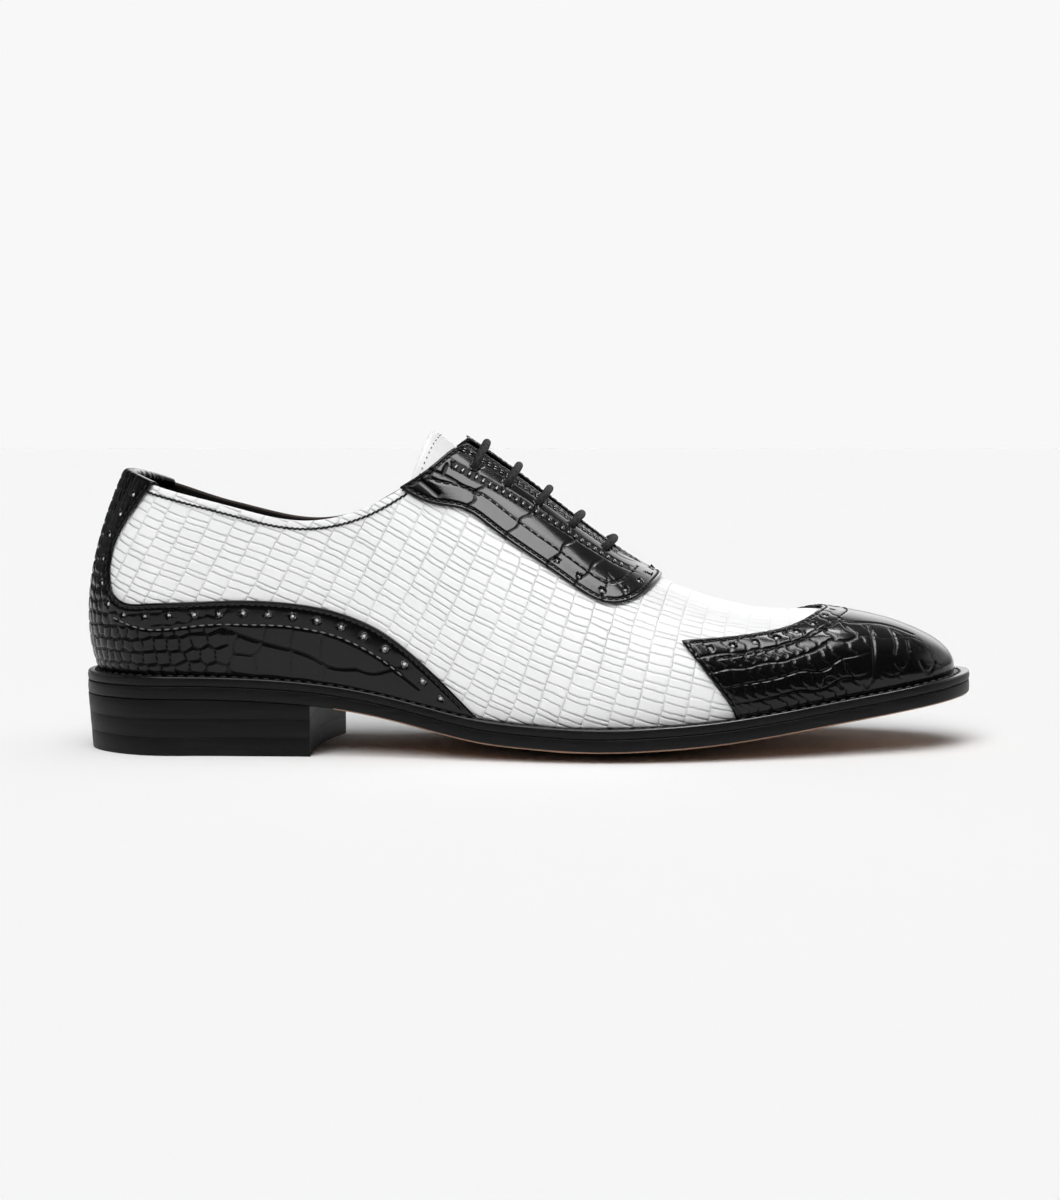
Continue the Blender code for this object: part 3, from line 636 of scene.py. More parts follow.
def plainLeather(name, base, shade, roughness, scale=700.0, depth=0.00012):
    f = Finish(name, **{"Specular IOR Level": 0.35})
    where = f.coords()
    cloud = f.noise(where, scale * 0.12, 4.0)
    grain = f.node("ShaderNodeTexVoronoi", None, {"Vector": where, "Scale": scale}, out="Distance")
    f.feed("Base Color", f.mix(f.step(cloud, 0.3, 0.75), base, shade))
    f.feed("Roughness", roughness + cloud * 0.15)
    f.bump(grain * 0.6 + cloud * 0.8, depth)
    return f.material


def thread(name, base, roughness):
    f = Finish(name, **{"Specular IOR Level": 0.3})
    ply = f.noise(f.coords(), 3000.0, 2.0)
    f.feed("Base Color", f.mix(ply, base, tuple(c * 0.45 for c in base)))
    f.feed("Roughness", roughness + ply * 0.15)
    f.bump(ply, 0.00008)
    return f.material


def laceCloth():
    f = Finish("laceCloth", **{"Specular IOR Level": 0.3, "Sheen Weight": 0.05})
    weave = f.attribute("groove")
    fuzz = f.noise(f.coords(), 2600.0, 3.0)
    # painted shade: the lace is darker in the dips between strands
    f.feed("Base Color", f.mix(weave, (0.013, 0.013, 0.013), (0.001, 0.001, 0.001)))
    f.feed("Roughness", 0.62 + fuzz * 0.2)
    f.bump(fuzz * 0.6, 0.0001)
    return f.material


white = whiteLizard()
croc, beadCroc = blackCroc("blackCroc", 0.1, 0.26), blackCroc("beadCroc", 0.8, 0.5)
edgeBlack = edgePaint("soleEdge", (0.004, 0.004, 0.0045), 0.3, 60.0, 0.19)
heelBlack = edgePaint("heelEdge", (0.003, 0.003, 0.0035), 0.38, 40.0, 0.2)
weltTop = edgePaint("weltTop", (0.006, 0.006, 0.007), 0.18, 60.0, 0.42, 0.36)
rubber = edgePaint("heelRubber", (0.012, 0.012, 0.012), 0.55, 90.0)
tongueWhite = plainLeather("tongueWhite", (0.88, 0.882, 0.88), (0.84, 0.843, 0.845), 0.42, 500.0, 0.00008)
# the white leather seen in the punched holes, painted grey as the shade inside them
holeGrey = plainLeather("holeGrey", (0.68, 0.68, 0.68), (0.56, 0.56, 0.56), 0.5)
tanLeather = plainLeather("soleTan", (0.34, 0.2, 0.13), (0.26, 0.15, 0.095), 0.42)
lining = plainLeather("blackLining", (0.012, 0.011, 0.0105), (0.006, 0.0055, 0.0055), 0.5)
brownEdge = plainLeather("brownEdge", (0.03, 0.017, 0.012), (0.015, 0.009, 0.007), 0.6)
blackThread = thread("blackThread", (0.02, 0.02, 0.02), 0.45)
# painted highlight: black thread coloured grey for the shine on the counter's band stitches
greyThread = thread("greyThread", (0.2, 0.2, 0.205), 0.42)
lace = laceCloth()
print("finishes made")


# trees that lay stitches along seams, punch holes and raise domes in them
def nodeGroup(name, inputs):
    tree = bpy.data.node_groups.new(name, "GeometryNodeTree")
    tree.interface.new_socket("Geometry", in_out="INPUT", socket_type="NodeSocketGeometry")
    tree.interface.new_socket("Geometry", in_out="OUTPUT", socket_type="NodeSocketGeometry")
    for label, kind in inputs.items():
        tree.interface.new_socket(label, in_out="INPUT", socket_type="NodeSocket" + kind)
    return tree, addNode(tree, "NodeGroupInput")


def addMaths(tree, operation, a, b=0.0):
    return addNode(tree, "ShaderNodeMath", {"operation": operation}, {0: a, 1: b})[0]


def addVector(tree, operation, a, sockets=None):
    return addNode(tree, "ShaderNodeVectorMath", {"operation": operation}, {0: a, **(sockets or {})})[0]


def addTurn(tree, settings, sockets):
    return addNode(tree, "FunctionNodeAlignRotationToVector", settings, sockets)[0]


def outwardAt(tree):
    settings = {"data_type": "FLOAT_VECTOR"}
    return addNode(tree, "GeometryNodeInputNamedAttribute", settings, {"Name": "outward"})[0]


def ballsOn(tree, points, segments, rings, radii, rotation):  # a stretched ball on each point
    sockets = {"Segments": segments, "Rings": rings, "Radius": 1.0}
    ball = addNode(tree, "GeometryNodeMeshUVSphere", None, sockets)[0]
    scale = addNode(tree, "ShaderNodeCombineXYZ", None, dict(enumerate(radii)))[0]
    shape = addNode(tree, "GeometryNodeTransform", None, {"Geometry": ball, "Scale": scale})[0]
    sockets = {"Points": points, "Instance": shape, "Rotation": rotation}
    return addNode(tree, "GeometryNodeInstanceOnPoints", None, sockets)[0]


def endTree(tree, geometry, material, smooth=True):
    real = addNode(tree, "GeometryNodeRealizeInstances", None, {0: geometry})[0]
    if smooth:
        real = addNode(tree, "GeometryNodeSetShadeSmooth", None, {0: real})[0]
    dressed = addNode(tree, "GeometryNodeSetMaterial", None, {"Geometry": real, "Material": material})[0]
    addNode(tree, "NodeGroupOutput", None, {0: dressed})
    return tree


def runTree(obj, tree, values):  # sets inputs by identifier, evaluates, leaves a plain mesh
    modifier = obj.modifiers.new(tree.name, "NODES")
    modifier.node_group = tree
    for item in tree.interface.items_tree:
        if item.in_out == "INPUT" and item.name in values:
            modifier[item.identifier] = values[item.name]
    bpy.context.view_layer.update()
    graph = bpy.context.evaluated_depsgraph_get()
    shaped = obj.evaluated_get(graph)
    mesh = bpy.data.meshes.new_from_object(shaped, preserve_all_data_layers=True, depsgraph=graph)
    obj.modifiers.remove(modifier)
    old, obj.data = obj.data, mesh
    mesh.name = obj.name
    bpy.data.meshes.remove(old)
    return obj


def stitchTree():
    tree, given = nodeGroup("stitchRow", {
        "Pitch": "Float", "Stitch Length": "Float", "Thread Radius": "Float", "Thread Height": "Float",
        "Lean": "Float", "Thread": "Material",
    })
    curve = addNode(tree, "GeometryNodeMeshToCurve", None, {"Mesh": given["Geometry"]})[0]
    sockets = {"Curve": curve, "Length": given["Pitch"]}
    spaced = addNode(tree, "GeometryNodeResampleCurve", {"mode": "LENGTH"}, sockets)[0]
    tangent = addNode(tree, "GeometryNodeInputTangent")[0]
    along = addTurn(tree, {"axis": "X"}, {"Vector": tangent})
    stood = addTurn(tree, {"axis": "Z", "pivot_axis": "X"}, {"Rotation": along, "Vector": outwardAt(tree)})
    sockets = {"Axis": (0, 0, 1), "Angle": given["Lean"]}
    tilt = addNode(tree, "FunctionNodeAxisAngleToRotation", None, sockets)[0]
    sockets = {"Rotation": stood, "Rotate By": tilt}
    turned = addNode(tree, "FunctionNodeRotateRotation", {"rotation_space": "LOCAL"}, sockets)[0]
    halfLength = addMaths(tree, "MULTIPLY", given["Stitch Length"], 0.5)
    radii = (halfLength, given["Thread Radius"], given["Thread Height"])
    return endTree(tree, ballsOn(tree, spaced, 6, 5, radii, turned), given["Thread"])


holeCut = {"snap": 0.24, "clear": 0.93}  # shares of the radius: moved onto the rim, and cleared inside it


def punchTree():
    tree, given = nodeGroup("punchedHoles", {"Centres": "Object", "Radius": "Float", "Leather": "Material"})
    radius = given["Radius"]
    centres = addNode(tree, "GeometryNodeObjectInfo", None, {"Object": given["Centres"]})["Geometry"]

    def nearest():
        return addNode(tree, "GeometryNodeProximity", {"target_element": "POINTS"}, {0: centres})

    near = nearest()
    here = addNode(tree, "GeometryNodeInputPosition")[0]
    unit = addVector(tree, "NORMALIZE", addVector(tree, "SUBTRACT", here, {1: near["Position"]}))
    ring = addVector(tree, "SCALE", unit, {"Scale": radius})
    onRing = addVector(tree, "ADD", near["Position"], {1: ring})
    off = addMaths(tree, "ABSOLUTE", addMaths(tree, "SUBTRACT", near["Distance"], radius))
    close = addMaths(tree, "LESS_THAN", off, addMaths(tree, "MULTIPLY", radius, holeCut["snap"]))
    sockets = {"Geometry": given["Geometry"], "Selection": close, "Position": onRing}
    snapped = addNode(tree, "GeometryNodeSetPosition", None, sockets)[0]
    clear = addMaths(tree, "MULTIPLY", radius, holeCut["clear"])
    inside = addMaths(tree, "LESS_THAN", nearest()["Distance"], clear)
    sockets = {"Geometry": snapped, "Selection": inside}
    holed = addNode(tree, "GeometryNodeDeleteGeometry", {"domain": "FACE"}, sockets)[0]
    return endTree(tree, holed, given["Leather"], smooth=False)


def domeTree():
    tree, given = nodeGroup("holeDomes", {"Radius": "Float", "Rise": "Float", "Leather": "Material"})
    spots = addNode(tree, "GeometryNodeMeshToPoints", None, {"Mesh": given["Geometry"]})[0]
    stood = addTurn(tree, {"axis": "Z"}, {"Vector": outwardAt(tree)})
    radii = (given["Radius"], given["Radius"], given["Rise"])
    return endTree(tree, ballsOn(tree, spots, 10, 6, radii, stood), given["Leather"])


stitchRow, punchedHoles, holeDomes = stitchTree(), punchTree(), domeTree()


def guide(name, seams):  # loose lines of points that carry their outward direction
    points, outward, edges = [], [], []
    for line, normal in seams:
        first = sum(len(part) for part in points)
        points.append(line * mm)
        outward.append(normal)
        edges += [(first + i, first + i + 1) for i in range(len(line) - 1)]
    mesh = bpy.data.meshes.new(name)
    mesh.from_pydata(np.concatenate(points).tolist(), edges, [])
    vectors = mesh.attributes.new("outward", "FLOAT_VECTOR", "POINT")
    vectors.data.foreach_set("vector", np.concatenate(outward).astype(np.float32).ravel())
    return addObject(name, mesh)


def stitches(name, seams, settings, material, slot):
    pitch, length, radius = (settings[key] * mm for key in ("pitch", "length", "radius"))
    obj = guide(name, seams)
    runTree(obj, stitchRow, {
        "Pitch": pitch, "Stitch Length": length, "Thread Radius": radius,
        "Thread Height": settings.get("height", settings["radius"]) * mm,
        "Lean": math.radians(settings.get("lean", 0)), "Thread": material,
    })
    return place(obj, slot)


def seamOn(line, lift):  # a seam over the surface, from (station, girth) points
    return form.point(*line.T, np.full(len(line), lift)), form.normal(*line.T)


def punch(obj, centres, radius, leather):
    mesh = bpy.data.meshes.new("holeCentres")
    mesh.from_pydata((np.asarray(centres) * mm).tolist(), [], [])
    marks = addObject("holeCentres", mesh)
    runTree(obj, punchedHoles, {"Centres": marks, "Radius": radius * mm, "Leather": leather})
    bpy.data.objects.remove(marks)
    bpy.data.meshes.remove(mesh)
    return obj


# the openings of the upper: collar, throat and the join ahead of it
throat = {
    "centre": 5.0, "gap": 4.6, "closeFrom": 28.0, "closeAt": 37.0, "endX": 30.0, "joinX": 100.0,
    "corner": 0.12,
}


def softMin(a, b):  # rounds the corner where the collar meets the throat
    near = np.maximum(throat["corner"] - np.abs(a - b), 0) / throat["corner"]
    return np.minimum(a, b) - near**2 * throat["corner"] / 4


def upperLimits(s):
    s = np.asarray(s, float)
    x = form.curves["spineX"](s)
    half = throat["gap"] / 2 * (1 - smoothStep(throat["closeFrom"], throat["closeAt"], x))
    fade = 1 - smoothStep(throat["endX"], throat["joinX"], x)
    middle = 1 - (1 - form.shareAtDistance(s, throat["centre"])) * fade
    above, below = (form.shareAtDistance(s, throat["centre"] + reach) for reach in (-half, half))
    width = above - below
    near, far = middle - width / 2, middle + width / 2
    heel = form.curves["top"](s) > 0.01
    lateral = form.shareAtCollar(s, True)
    medial = 2 - form.shareAtCollar(s, False)
    nearRound = softMin(lateral, near)
    farRound = np.where(medial < 1.0001, far, 2 - softMin(2 - medial, 2 - far))
    behind = x <= throat["endX"]
    near = np.where(behind, np.where(heel, lateral, nearRound), near)
    far = np.where(behind, np.where(heel, medial, farRound), far)
    return near, far


girthGrid = np.linspace(0, 1, 81)
stationGrid = np.linspace(0, 1, 321)


def runTables():
    s, t = np.meshgrid(stationGrid, girthGrid, indexing="ij")
    tables = {}
    for lateral in (True, False):
        grid = form.base(s, onSide(t, lateral))
        climb = np.linalg.norm(np.diff(grid, axis=1), axis=-1)
        climb = np.concatenate([np.zeros((len(s), 1)), np.cumsum(climb, axis=1)], axis=1)
        if not lateral:  # both sides meet at the ridge
            climb *= tables[True][0][:, -1:] / np.maximum(climb[:, -1:], 1)
        middle = form.base(stationGrid, np.full(len(stationGrid), onSide(0.3, lateral)))
        tables[lateral] = (climb, lengths(middle))
    return tables


runs = runTables()


def climbAt(s, g):  # girth length above the side's own foot
    lateral = g <= 1
    t = np.where(lateral, g, 2 - g) * (len(girthGrid) - 1)
    k = s * (len(stationGrid) - 1)
    i, j = np.clip(k.astype(int), 0, len(stationGrid) - 2), np.clip(t.astype(int), 0, len(girthGrid) - 2)
    a, b = k - i, t - j
    result = []
    for side in (True, False):
        table = runs[side][0]
        before, after = ((1 - b) * table[row, j] + b * table[row, j + 1] for row in (i, i + 1))
        result.append((1 - a) * before + a * after)
    return np.where(lateral, *result)


def runAt(s, g):  # length along the side from the back seam
    near, far = (np.interp(s, stationGrid, runs[side][1]) for side in (True, False))
    return near + (far - near) * smoothStep(1.0, 1.4, g)


# lizard skin lies in leaning bands of short cells
lizard = {"pitch": 8.6, "first": 40, "band": (7.6, 9.4), "cell": 3.05, "lean": (0.47, 0.16), "drop": 0.34}


def lizardUv(s, g):
    along, climb = runAt(s, g), climbAt(s, g)
    x = form.curves["spineX"](s)
    (rearLean, foreLean), (rearBand, foreBand) = lizard["lean"], lizard["band"]
    lean = rearLean + (foreLean - rearLean) * smoothStep(-40, 100, x)
    width = rearBand + (foreBand - rearBand) * smoothStep(-130, 40, x)
    bands = along / lizard["pitch"] + lizard["first"] - lean * climb / width
    return np.stack([bands, (climb + lizard["drop"] * along) / lizard["cell"]], axis=-1)


upperSize = {
    "column": 0.85, "rows": 78, "liningRows": 26, "rim": 1.0,
    "rimRows": (1.7, 1.1, 0.7, 0.4, 0.18, 0.05, 0.0), "rimFrom": 2.6,  # distances from the rim
    "rawEdge": 0.7, "eyeletDark": 4.2, "facingDark": 1.7, "facingX": -43,
}
eyeletX = (-19.3, -8.3, 2.2, 13.4, 24.8)
eyeletReach = 15.5


def eyeletLine(lateral):
    s = form.stationOfSpine(np.array(eyeletX))
    return np.stack([s, onSide(form.shareAtDistance(s, eyeletReach, lateral), lateral)], axis=1)


eyelets = np.concatenate([eyeletLine(True), eyeletLine(False)])
eyeletPoints = form.base(*eyelets.T)


def upperStations():
    total = lengths(form.base(stationGrid, np.full(len(stationGrid), 0.5)))
    shares = np.linspace(0, 1, int(total[-1] / upperSize["column"]))
    return np.interp(shares * total[-1], total, stationGrid)


def buildUpper():
    s = upperStations()
    wall, rim = layers["upperWall"], upperSize["rim"]
    isOpen = form.curves["spineX"](s) < throat["closeAt"]
    sheets = []
    for limit, lateral in zip(upperLimits(s), (True, False)):
        slope = np.linalg.norm(form.slopes(s, limit)[1], axis=1)
        rimLine = form.base(s, limit)[isOpen]
        tall = np.abs(limit - onSide(0.0, lateral))
        close = tall[:, None] - np.array(upperSize["rimRows"])[None, :] / slope[:, None]
        for inside in (False, True):
            shares = np.linspace(0, 1, upperSize["liningRows" if inside else "rows"])
            steps = shares[None, :] * (tall - upperSize["rimFrom"] / slope)[:, None]
            g = onSide(np.concatenate([steps, close], axis=1), lateral)
            ss = np.broadcast_to(s[:, None], g.shape)
            surface = form.base(ss, g)
            away = np.full(g.shape, 9.0)
            away[isOpen] = lineDistance(surface[isOpen], rimLine)[0]
            drop = edgeDrop(away, rim, rim)
            lift = -wall + drop if inside else -drop
            slot = np.full((g.shape[0] - 1, g.shape[1] - 1), int(inside))
            corner, cornerAway = surface[:-1, :-1], away[:-1, :-1]
            if inside:  # raw leather shows along the lining's top edge
                slot[cornerAway < upperSize["rawEdge"]] = 2
            else:  # black round the eyelets is painted shade for holes the quarter lacks; black along the facings too
                centre = (corner + surface[1:, 1:]) / 2
                reach = np.linalg.norm(centre[:, :, None] - eyeletPoints[None, None], axis=-1).min(-1)
                slot[reach < upperSize["eyeletDark"]] = 1
                slot[(cornerAway < upperSize["facingDark"]) & (corner[..., 0] > upperSize["facingX"])] = 1
            sheets.append({
                "points": surface + form.normal(ss, g) * lift[..., None], "uv": lizardUv(ss, g),
                "flip": (not lateral) != inside, "slot": slot,
            })
        bottom = np.stack([sheet["points"][:, 0] for sheet in sheets[-2:]], axis=1)
        sheets.append({"points": bottom, "flip": lateral, "slot": 1})
    obj = sheetMesh("upperLeather", sheets, [white, lining, brownEdge])
    return place(obj, "white_leather", "upper")


upperPiece = buildUpper()
print("upper:", len(upperPiece.data.polygons), "faces")


# scale cells: rows of cells with soft trough lines between them
def cellLines(along, across, rows, seed, wave):
    rng = np.random.default_rng(seed)
    edges = np.array([row[0] for row in rows] + [9.9])
    distance = np.full(along.shape, 9.0)
    for k, (low, high) in enumerate(zip(edges[:-1], edges[1:])):
        pitch, jitter, tall = rows[k][1:]
        if isinstance(pitch, np.ndarray):
            stops = pitch
        else:
            size = pitch if callable(pitch) else lambda at: rows[k][1]
            stops = [along.min() - size(along.min()) * rng.uniform(0.2, 1.0)]
            while stops[-1] < along.max() + 20:
                stops.append(stops[-1] + size(stops[-1]) * rng.uniform(1 - jitter, 1 + jitter))
            stops = np.array(stops)
        here = (across >= low) & (across < high)
        if not here.any():
            continue
        a = along[here] + wave(across[here], k)
        i = np.clip(np.searchsorted(stops, a) - 1, 0, len(stops) - 2)
        side = np.minimum(a - stops[i], stops[i + 1] - a)
        rise = np.minimum(across[here] - low, high - across[here]) * tall[here]
        distance[here] = np.minimum(side, rise)
    return distance


def cellSeeds(points, seeds):  # distance from each point to the edge of its own cell
    flat = points.reshape(-1, 3)
    result = np.empty(len(flat))
    for first in range(0, len(flat), chunk):
        part = flat[first : first + chunk]
        gone = ((part[:, None, :] - seeds[None]) ** 2).sum(-1)
        two = np.argpartition(gone, 1, axis=1)[:, :2]
        order = np.argsort(np.take_along_axis(gone, two, axis=1), axis=1)
        two = np.take_along_axis(two, order, axis=1)
        values = np.take_along_axis(gone, two, axis=1)
        apart = np.linalg.norm(seeds[two[:, 0]] - seeds[two[:, 1]], axis=1)
        result[first : first + chunk] = (values[:, 1] - values[:, 0]) / (2 * np.maximum(apart, 1e-6))
    return result.reshape(points.shape[:-1])


def trench(away, width):
    return np.exp(-((away / width) ** 2))


def relief(distance, size):  # trough between cells and a soft crown on each
    groove = trench(distance, size["width"])
    return -size["depth"] * groove + size["dome"] * (1 - np.exp(-distance / 1.6)), groove


stitching = {
    "edge": {"pitch": 2.3, "length": 2.0, "radius": 0.3},
    "band": {"pitch": 2.9, "length": 2.3, "radius": 0.3},
    "collar": {"pitch": 1.75, "length": 2.5, "radius": 0.42, "lean": 16},
    "tongue": {"pitch": 2.3, "length": 0.8, "radius": 0.21},
    "welt": {"pitch": 3.6, "length": 2.9, "radius": 0.5},
    "lowBeads": {"pitch": 2.5, "length": 2.8, "radius": 0.9, "height": 0.34, "lean": 90},
    "highBeads": {"pitch": 2.4, "length": 1.9, "radius": 0.52, "height": 0.3},
}
overlayTop = layers["gap"] + layers["overlayWall"]
overlay = {"wall": 1.25, "edge": (0.75, 0.6), "pull": 0.3, "sink": 0.1}  # edge radius and depth, thread
brogue = {
    "inset": 4.3, "pitch": 8.2, "radius": 1.3, "band": 8.4, "seam": 1.5,
    "dome": 0.66, "rise": 0.6, "base": 0.72,  # the pale leather in a hole
}
overlaySeams, bandSeams, sheenThreadSeams, holeSpots, lowBeads, highBeads = [], [], [], [], [], []


def brogueRow(line, start=0.5, end=0.5):  # hole centres along a line, with leather to show in them
    run, pitch = lengths(form.base(*line.T)), brogue["pitch"]
    count = max(int((run[-1] - (start + end) * pitch) / pitch), 1)
    at = start * pitch + (run[-1] - (start + end) * pitch) * np.arange(count + 1) / count
    centres = resample(line, at / run[-1])
    holeSpots.append(seamOn(centres, brogue["base"]))
    return seamOn(centres, overlayTop)[0]


def spread(line, count):  # that many of a line's points
    return line[np.linspace(0, len(line) - 1, count).astype(int)]


def sew(seams, *lines, sink=overlay["sink"]):
    seams += [seamOn(line, overlayTop - sink) for line in lines]


def overlayPiece(name, node, sheets, holes, eyeletRadius=None):
    obj = sheetMesh(name, sheets, [croc])
    punch(obj, np.concatenate(holes), brogue["radius"], croc)
    if eyeletRadius:
        punch(obj, seamOn(eyelets, overlayTop)[0], eyeletRadius, croc)
    return place(thicken(obj, overlay["wall"]), "black_leather", node)


# the groove values become painted shade in the croc finish: darker and duller in the grooves
def overlaySheet(grid, lift, groove, flip):
    points = form.point(grid[..., 0], grid[..., 1], lift)
    return {"points": points, "flip": flip, "extras": {"groove": np.clip(groove, 0, 1)}}


def furrow(surface, lines, depth, width=0.45):  # the thread pulls a soft line into the leather
    away = np.minimum.reduce([lineDistance(surface, form.base(*line.T))[0] for line in lines])
    return depth * trench(away, width)


def creaseDistance(surface, lines, lateral):  # to the nearest of some side-view lines of (x, z)
    away = np.full(surface.shape[:-1], 99.0)
    for line in lines:
        path = form.base(*form.locate(through(line, 0.8), lateral).T)
        away = np.minimum(away, lineDistance(surface, path)[0])
    return away


# toe cap
capRear = [(43.6, 48.5), (48.7, 40.6), (54.4, 33.2), (60.2, 25.8), (64.1, 20.7), (67.1, 15.8), (68.6, 8.0)]
capTop = [
    (36.0, 0.395), (48.0, 0.452), (58, 0.496), (65, 0.528), (74.7, 0.582), (82, 0.63), (89, 0.705),
    (94.5, 0.81), (98.7, 0.912), (100.6, 0.965), (101, 1.0),
]
capCrease = [(96.0, 40.5), (108.0, 42.2), (121.0, 41.0), (130.5, 37.8), (137.5, 32.0), (141.0, 27.5)]
capCracks = [
    [(115.1, 41.1), (115.4, 35.3), (114.8, 26.1)], [(122.6, 39.7), (123.6, 35.9), (122.8, 32.9)],
    [(127.8, 36.4), (128.0, 33.0)],
    [(97.0, 23.8), (99.0, 26.5), (101.5, 25.9), (103.4, 23.2)], [(111.2, 24.3), (112.4, 22.9), (114.4, 25.3)],
    [(122.9, 29.9), (125.2, 27.9), (127.5, 30.0)], [(131.8, 29.9), (134.5, 26.5), (137.1, 29.4)],
]
capSize = {
    "step": 0.56, "fine": 0.78, "tall": 46.0, "foot": 0.006, "depth": 0.36, "width": 0.36, "dome": 0.1,
    "crack": 0.46,
}
capCells = {  # rows: lower edge as a share of the height, and how uneven the cells are
    "rows": ((-1.0, 0.35), (0.24, 0.3), (0.48, 0.3), (0.74, 0.25)), "slant": (4.5, -1.5, 1.0, 0.6, 0.4),
}
girthScale = 60  # millimetres a side, about, so that a line can bend in x and girth alike


def crossing(first, second):
    gone = ((first[:, None] - second[None]) ** 2 * (1e4, 1e3)).sum(-1)
    return np.unravel_index(np.argmin(gone), gone.shape)


def capSide(lateral):
    whole = capTop + [(x, 2 - g) for x, g in capTop[-2::-1]]
    line = through([(x, g * girthScale) for x, g in whole], 0.4)
    line = line[: len(line) // 2 + 1]
    share = np.minimum(line[:, 1] / girthScale, 1.0)
    top = np.stack([form.stationOfSpine(line[:, 0]), onSide(share, lateral)], axis=1)
    rear = form.locate(through(capRear, 0.5), lateral)
    i, j = crossing(rear, top)
    top[j] = rear[i]
    top, rear = top[j:], rear[i:]
    foot = onSide(capSize["foot"], lateral)
    rear = rear[np.abs(rear[:, 1] - onSide(0.0, lateral)) > capSize["foot"]]
    left = np.concatenate([rear, [[rear[-1, 0], foot]]])[::-1]
    ridge = np.stack([np.linspace(top[-1, 0], 1, 120)[1:], np.full(119, 1.0)], axis=1)
    right = np.stack([np.ones(80), onSide(np.linspace(capSize["foot"], 1, 80), lateral)], axis=1)
    bottom = np.stack([np.linspace(left[0, 0], 1, 160), np.full(160, foot)], axis=1)
    return bottom, np.concatenate([top, ridge]), left, right, top


def capWidths(at):  # cells widen towards the tip
    return 4.3 + 5.5 * float(smoothStep(28, 70, at))


def capTopWidths(at):
    return 5.6 + 90 * float(at > 55)


def buildToeCap():
    sheets, holes = [], []
    bumps = hills(11, 14, 9, 26)
    for lateral in (True, False):
        bottom, upperEdge, left, right, top = capSide(lateral)
        lines = (bottom, upperEdge, left, right)
        u, v, grid, surface = patch(lines, capSize, upperEdge, True, False, True)
        away = lineDistance(surface, form.base(*np.concatenate([left, top]).T))[0]
        # rows of cells follow the welt and draw down to the tip, under the smooth top of the toe
        x = surface[..., 0]
        along = np.repeat(lengths(surface[:, len(v) // 3])[:, None], len(v), axis=1)
        crease = form.base(*form.locate(through(capCrease, 1.5), lateral).T)
        spots = [np.unravel_index(np.argmin(((surface - spot) ** 2).sum(-1)), x.shape) for spot in crease]
        crest = np.interp(u, [u[i] for i, j in spots], [v[j] for i, j in spots])[:, None]
        crest = np.where(x < 100, np.minimum(crest, 0.76), crest)
        waver = 0.03 * bumps(surface) * smoothStep(0, 0.15, u)[:, None]
        across = np.repeat(v[None], len(u), axis=0) / crest + waver
        tall = crest * np.linalg.norm(np.diff(surface, axis=1), axis=-1).sum(1)[:, None]
        rows = [(low, capWidths, jitter, tall) for low, jitter in capCells["rows"]]
        rows.append((1.0, capTopWidths, 0.15, tall))
        distance = cellLines(
            along, across, rows, 21 if lateral else 22,
            lambda a, k: capCells["slant"][k] * a * 2 + 0.5 * np.sin(a * 37 + k * 2),
        )
        shift, groove = relief(distance, capSize)
        calm = 1 - 0.4 * smoothStep(9.5, 7.0, away)  # flatter in the punched band and on the toe's top
        calm *= np.where(across > 1.02, 1 - 0.9 * smoothStep(102, 110, x), 1 - 0.75 * smoothStep(106, 114, x))
        cracks = creaseDistance(surface, capCracks + [capCrease[1:4]], lateral)
        trough = trench(cracks, capSize["crack"])
        shift, groove = shift * calm - 0.3 * trough, np.maximum(groove * calm, 0.7 * trough)
        toward = spread(bottom, len(top))
        band, seamTop, holeLine = (inset(top, toward, brogue[key]) for key in ("band", "seam", "inset"))
        seamRear = inset(left, np.repeat(bottom[-1:], len(left), axis=0), brogue["seam"])
        band, seamTop, seamRear = band[26:], seamTop[8:], seamRear[2:-5]
        pull = furrow(surface, [seamTop, seamRear, band], overlay["pull"])
        lift = overlayTop + shift - pull - edgeDrop(away, *overlay["edge"])
        sheets.append(overlaySheet(grid, lift, groove + pull, not lateral))
        holes.append(brogueRow(holeLine[14:], 0.4, 0.5))
        sew(overlaySeams, seamTop, seamRear)
        sew(bandSeams, band)
    return overlayPiece("toeCapLeather", "toe_cap", sheets, holes)


toeCapPiece = buildToeCap()
print("toe cap:", len(toeCapPiece.data.polygons), "faces")


# heel counter with its strip up the back seam
counterEdge = [
    (-120.5, 99.0), (-126.4, 90.4), (-132, 83.0), (-137, 76.0), (-140, 70.0), (-141.2, 64.5), (-141.2, 58.8),
    (-139.8, 54.4), (-136.4, 51.6), (-128, 51.2), (-113.7, 51.8), (-96.4, 52.4), (-85, 52.0), (-70.4, 50.2),
    (-59.6, 47.2), (-52.0, 44.0), (-42, 37.6), (-31.6, 28.6), (-24, 21.2), (-13, 10.0),
]
counterSize = {
    "step": 0.58, "fine": 0.85, "tall": 30.0, "foot": 0.006, "depth": 0.4, "width": 0.38, "dome": 0.24,
    "valley": 0.2, "fold": 2.6, "rise": 1.9, "sheenThreadSink": 0.05,
}
counterBand = [
    (-138.4, 45.7), (-130.8, 43.2), (-124, 42.6), (-115.6, 43.4), (-108, 44.2), (-90.6, 44.3), (-81.4, 44.0),
    (-73.9, 43.0), (-66.2, 41.3), (-58.7, 38.4), (-49.5, 33.4), (-43.0, 28.6),
]
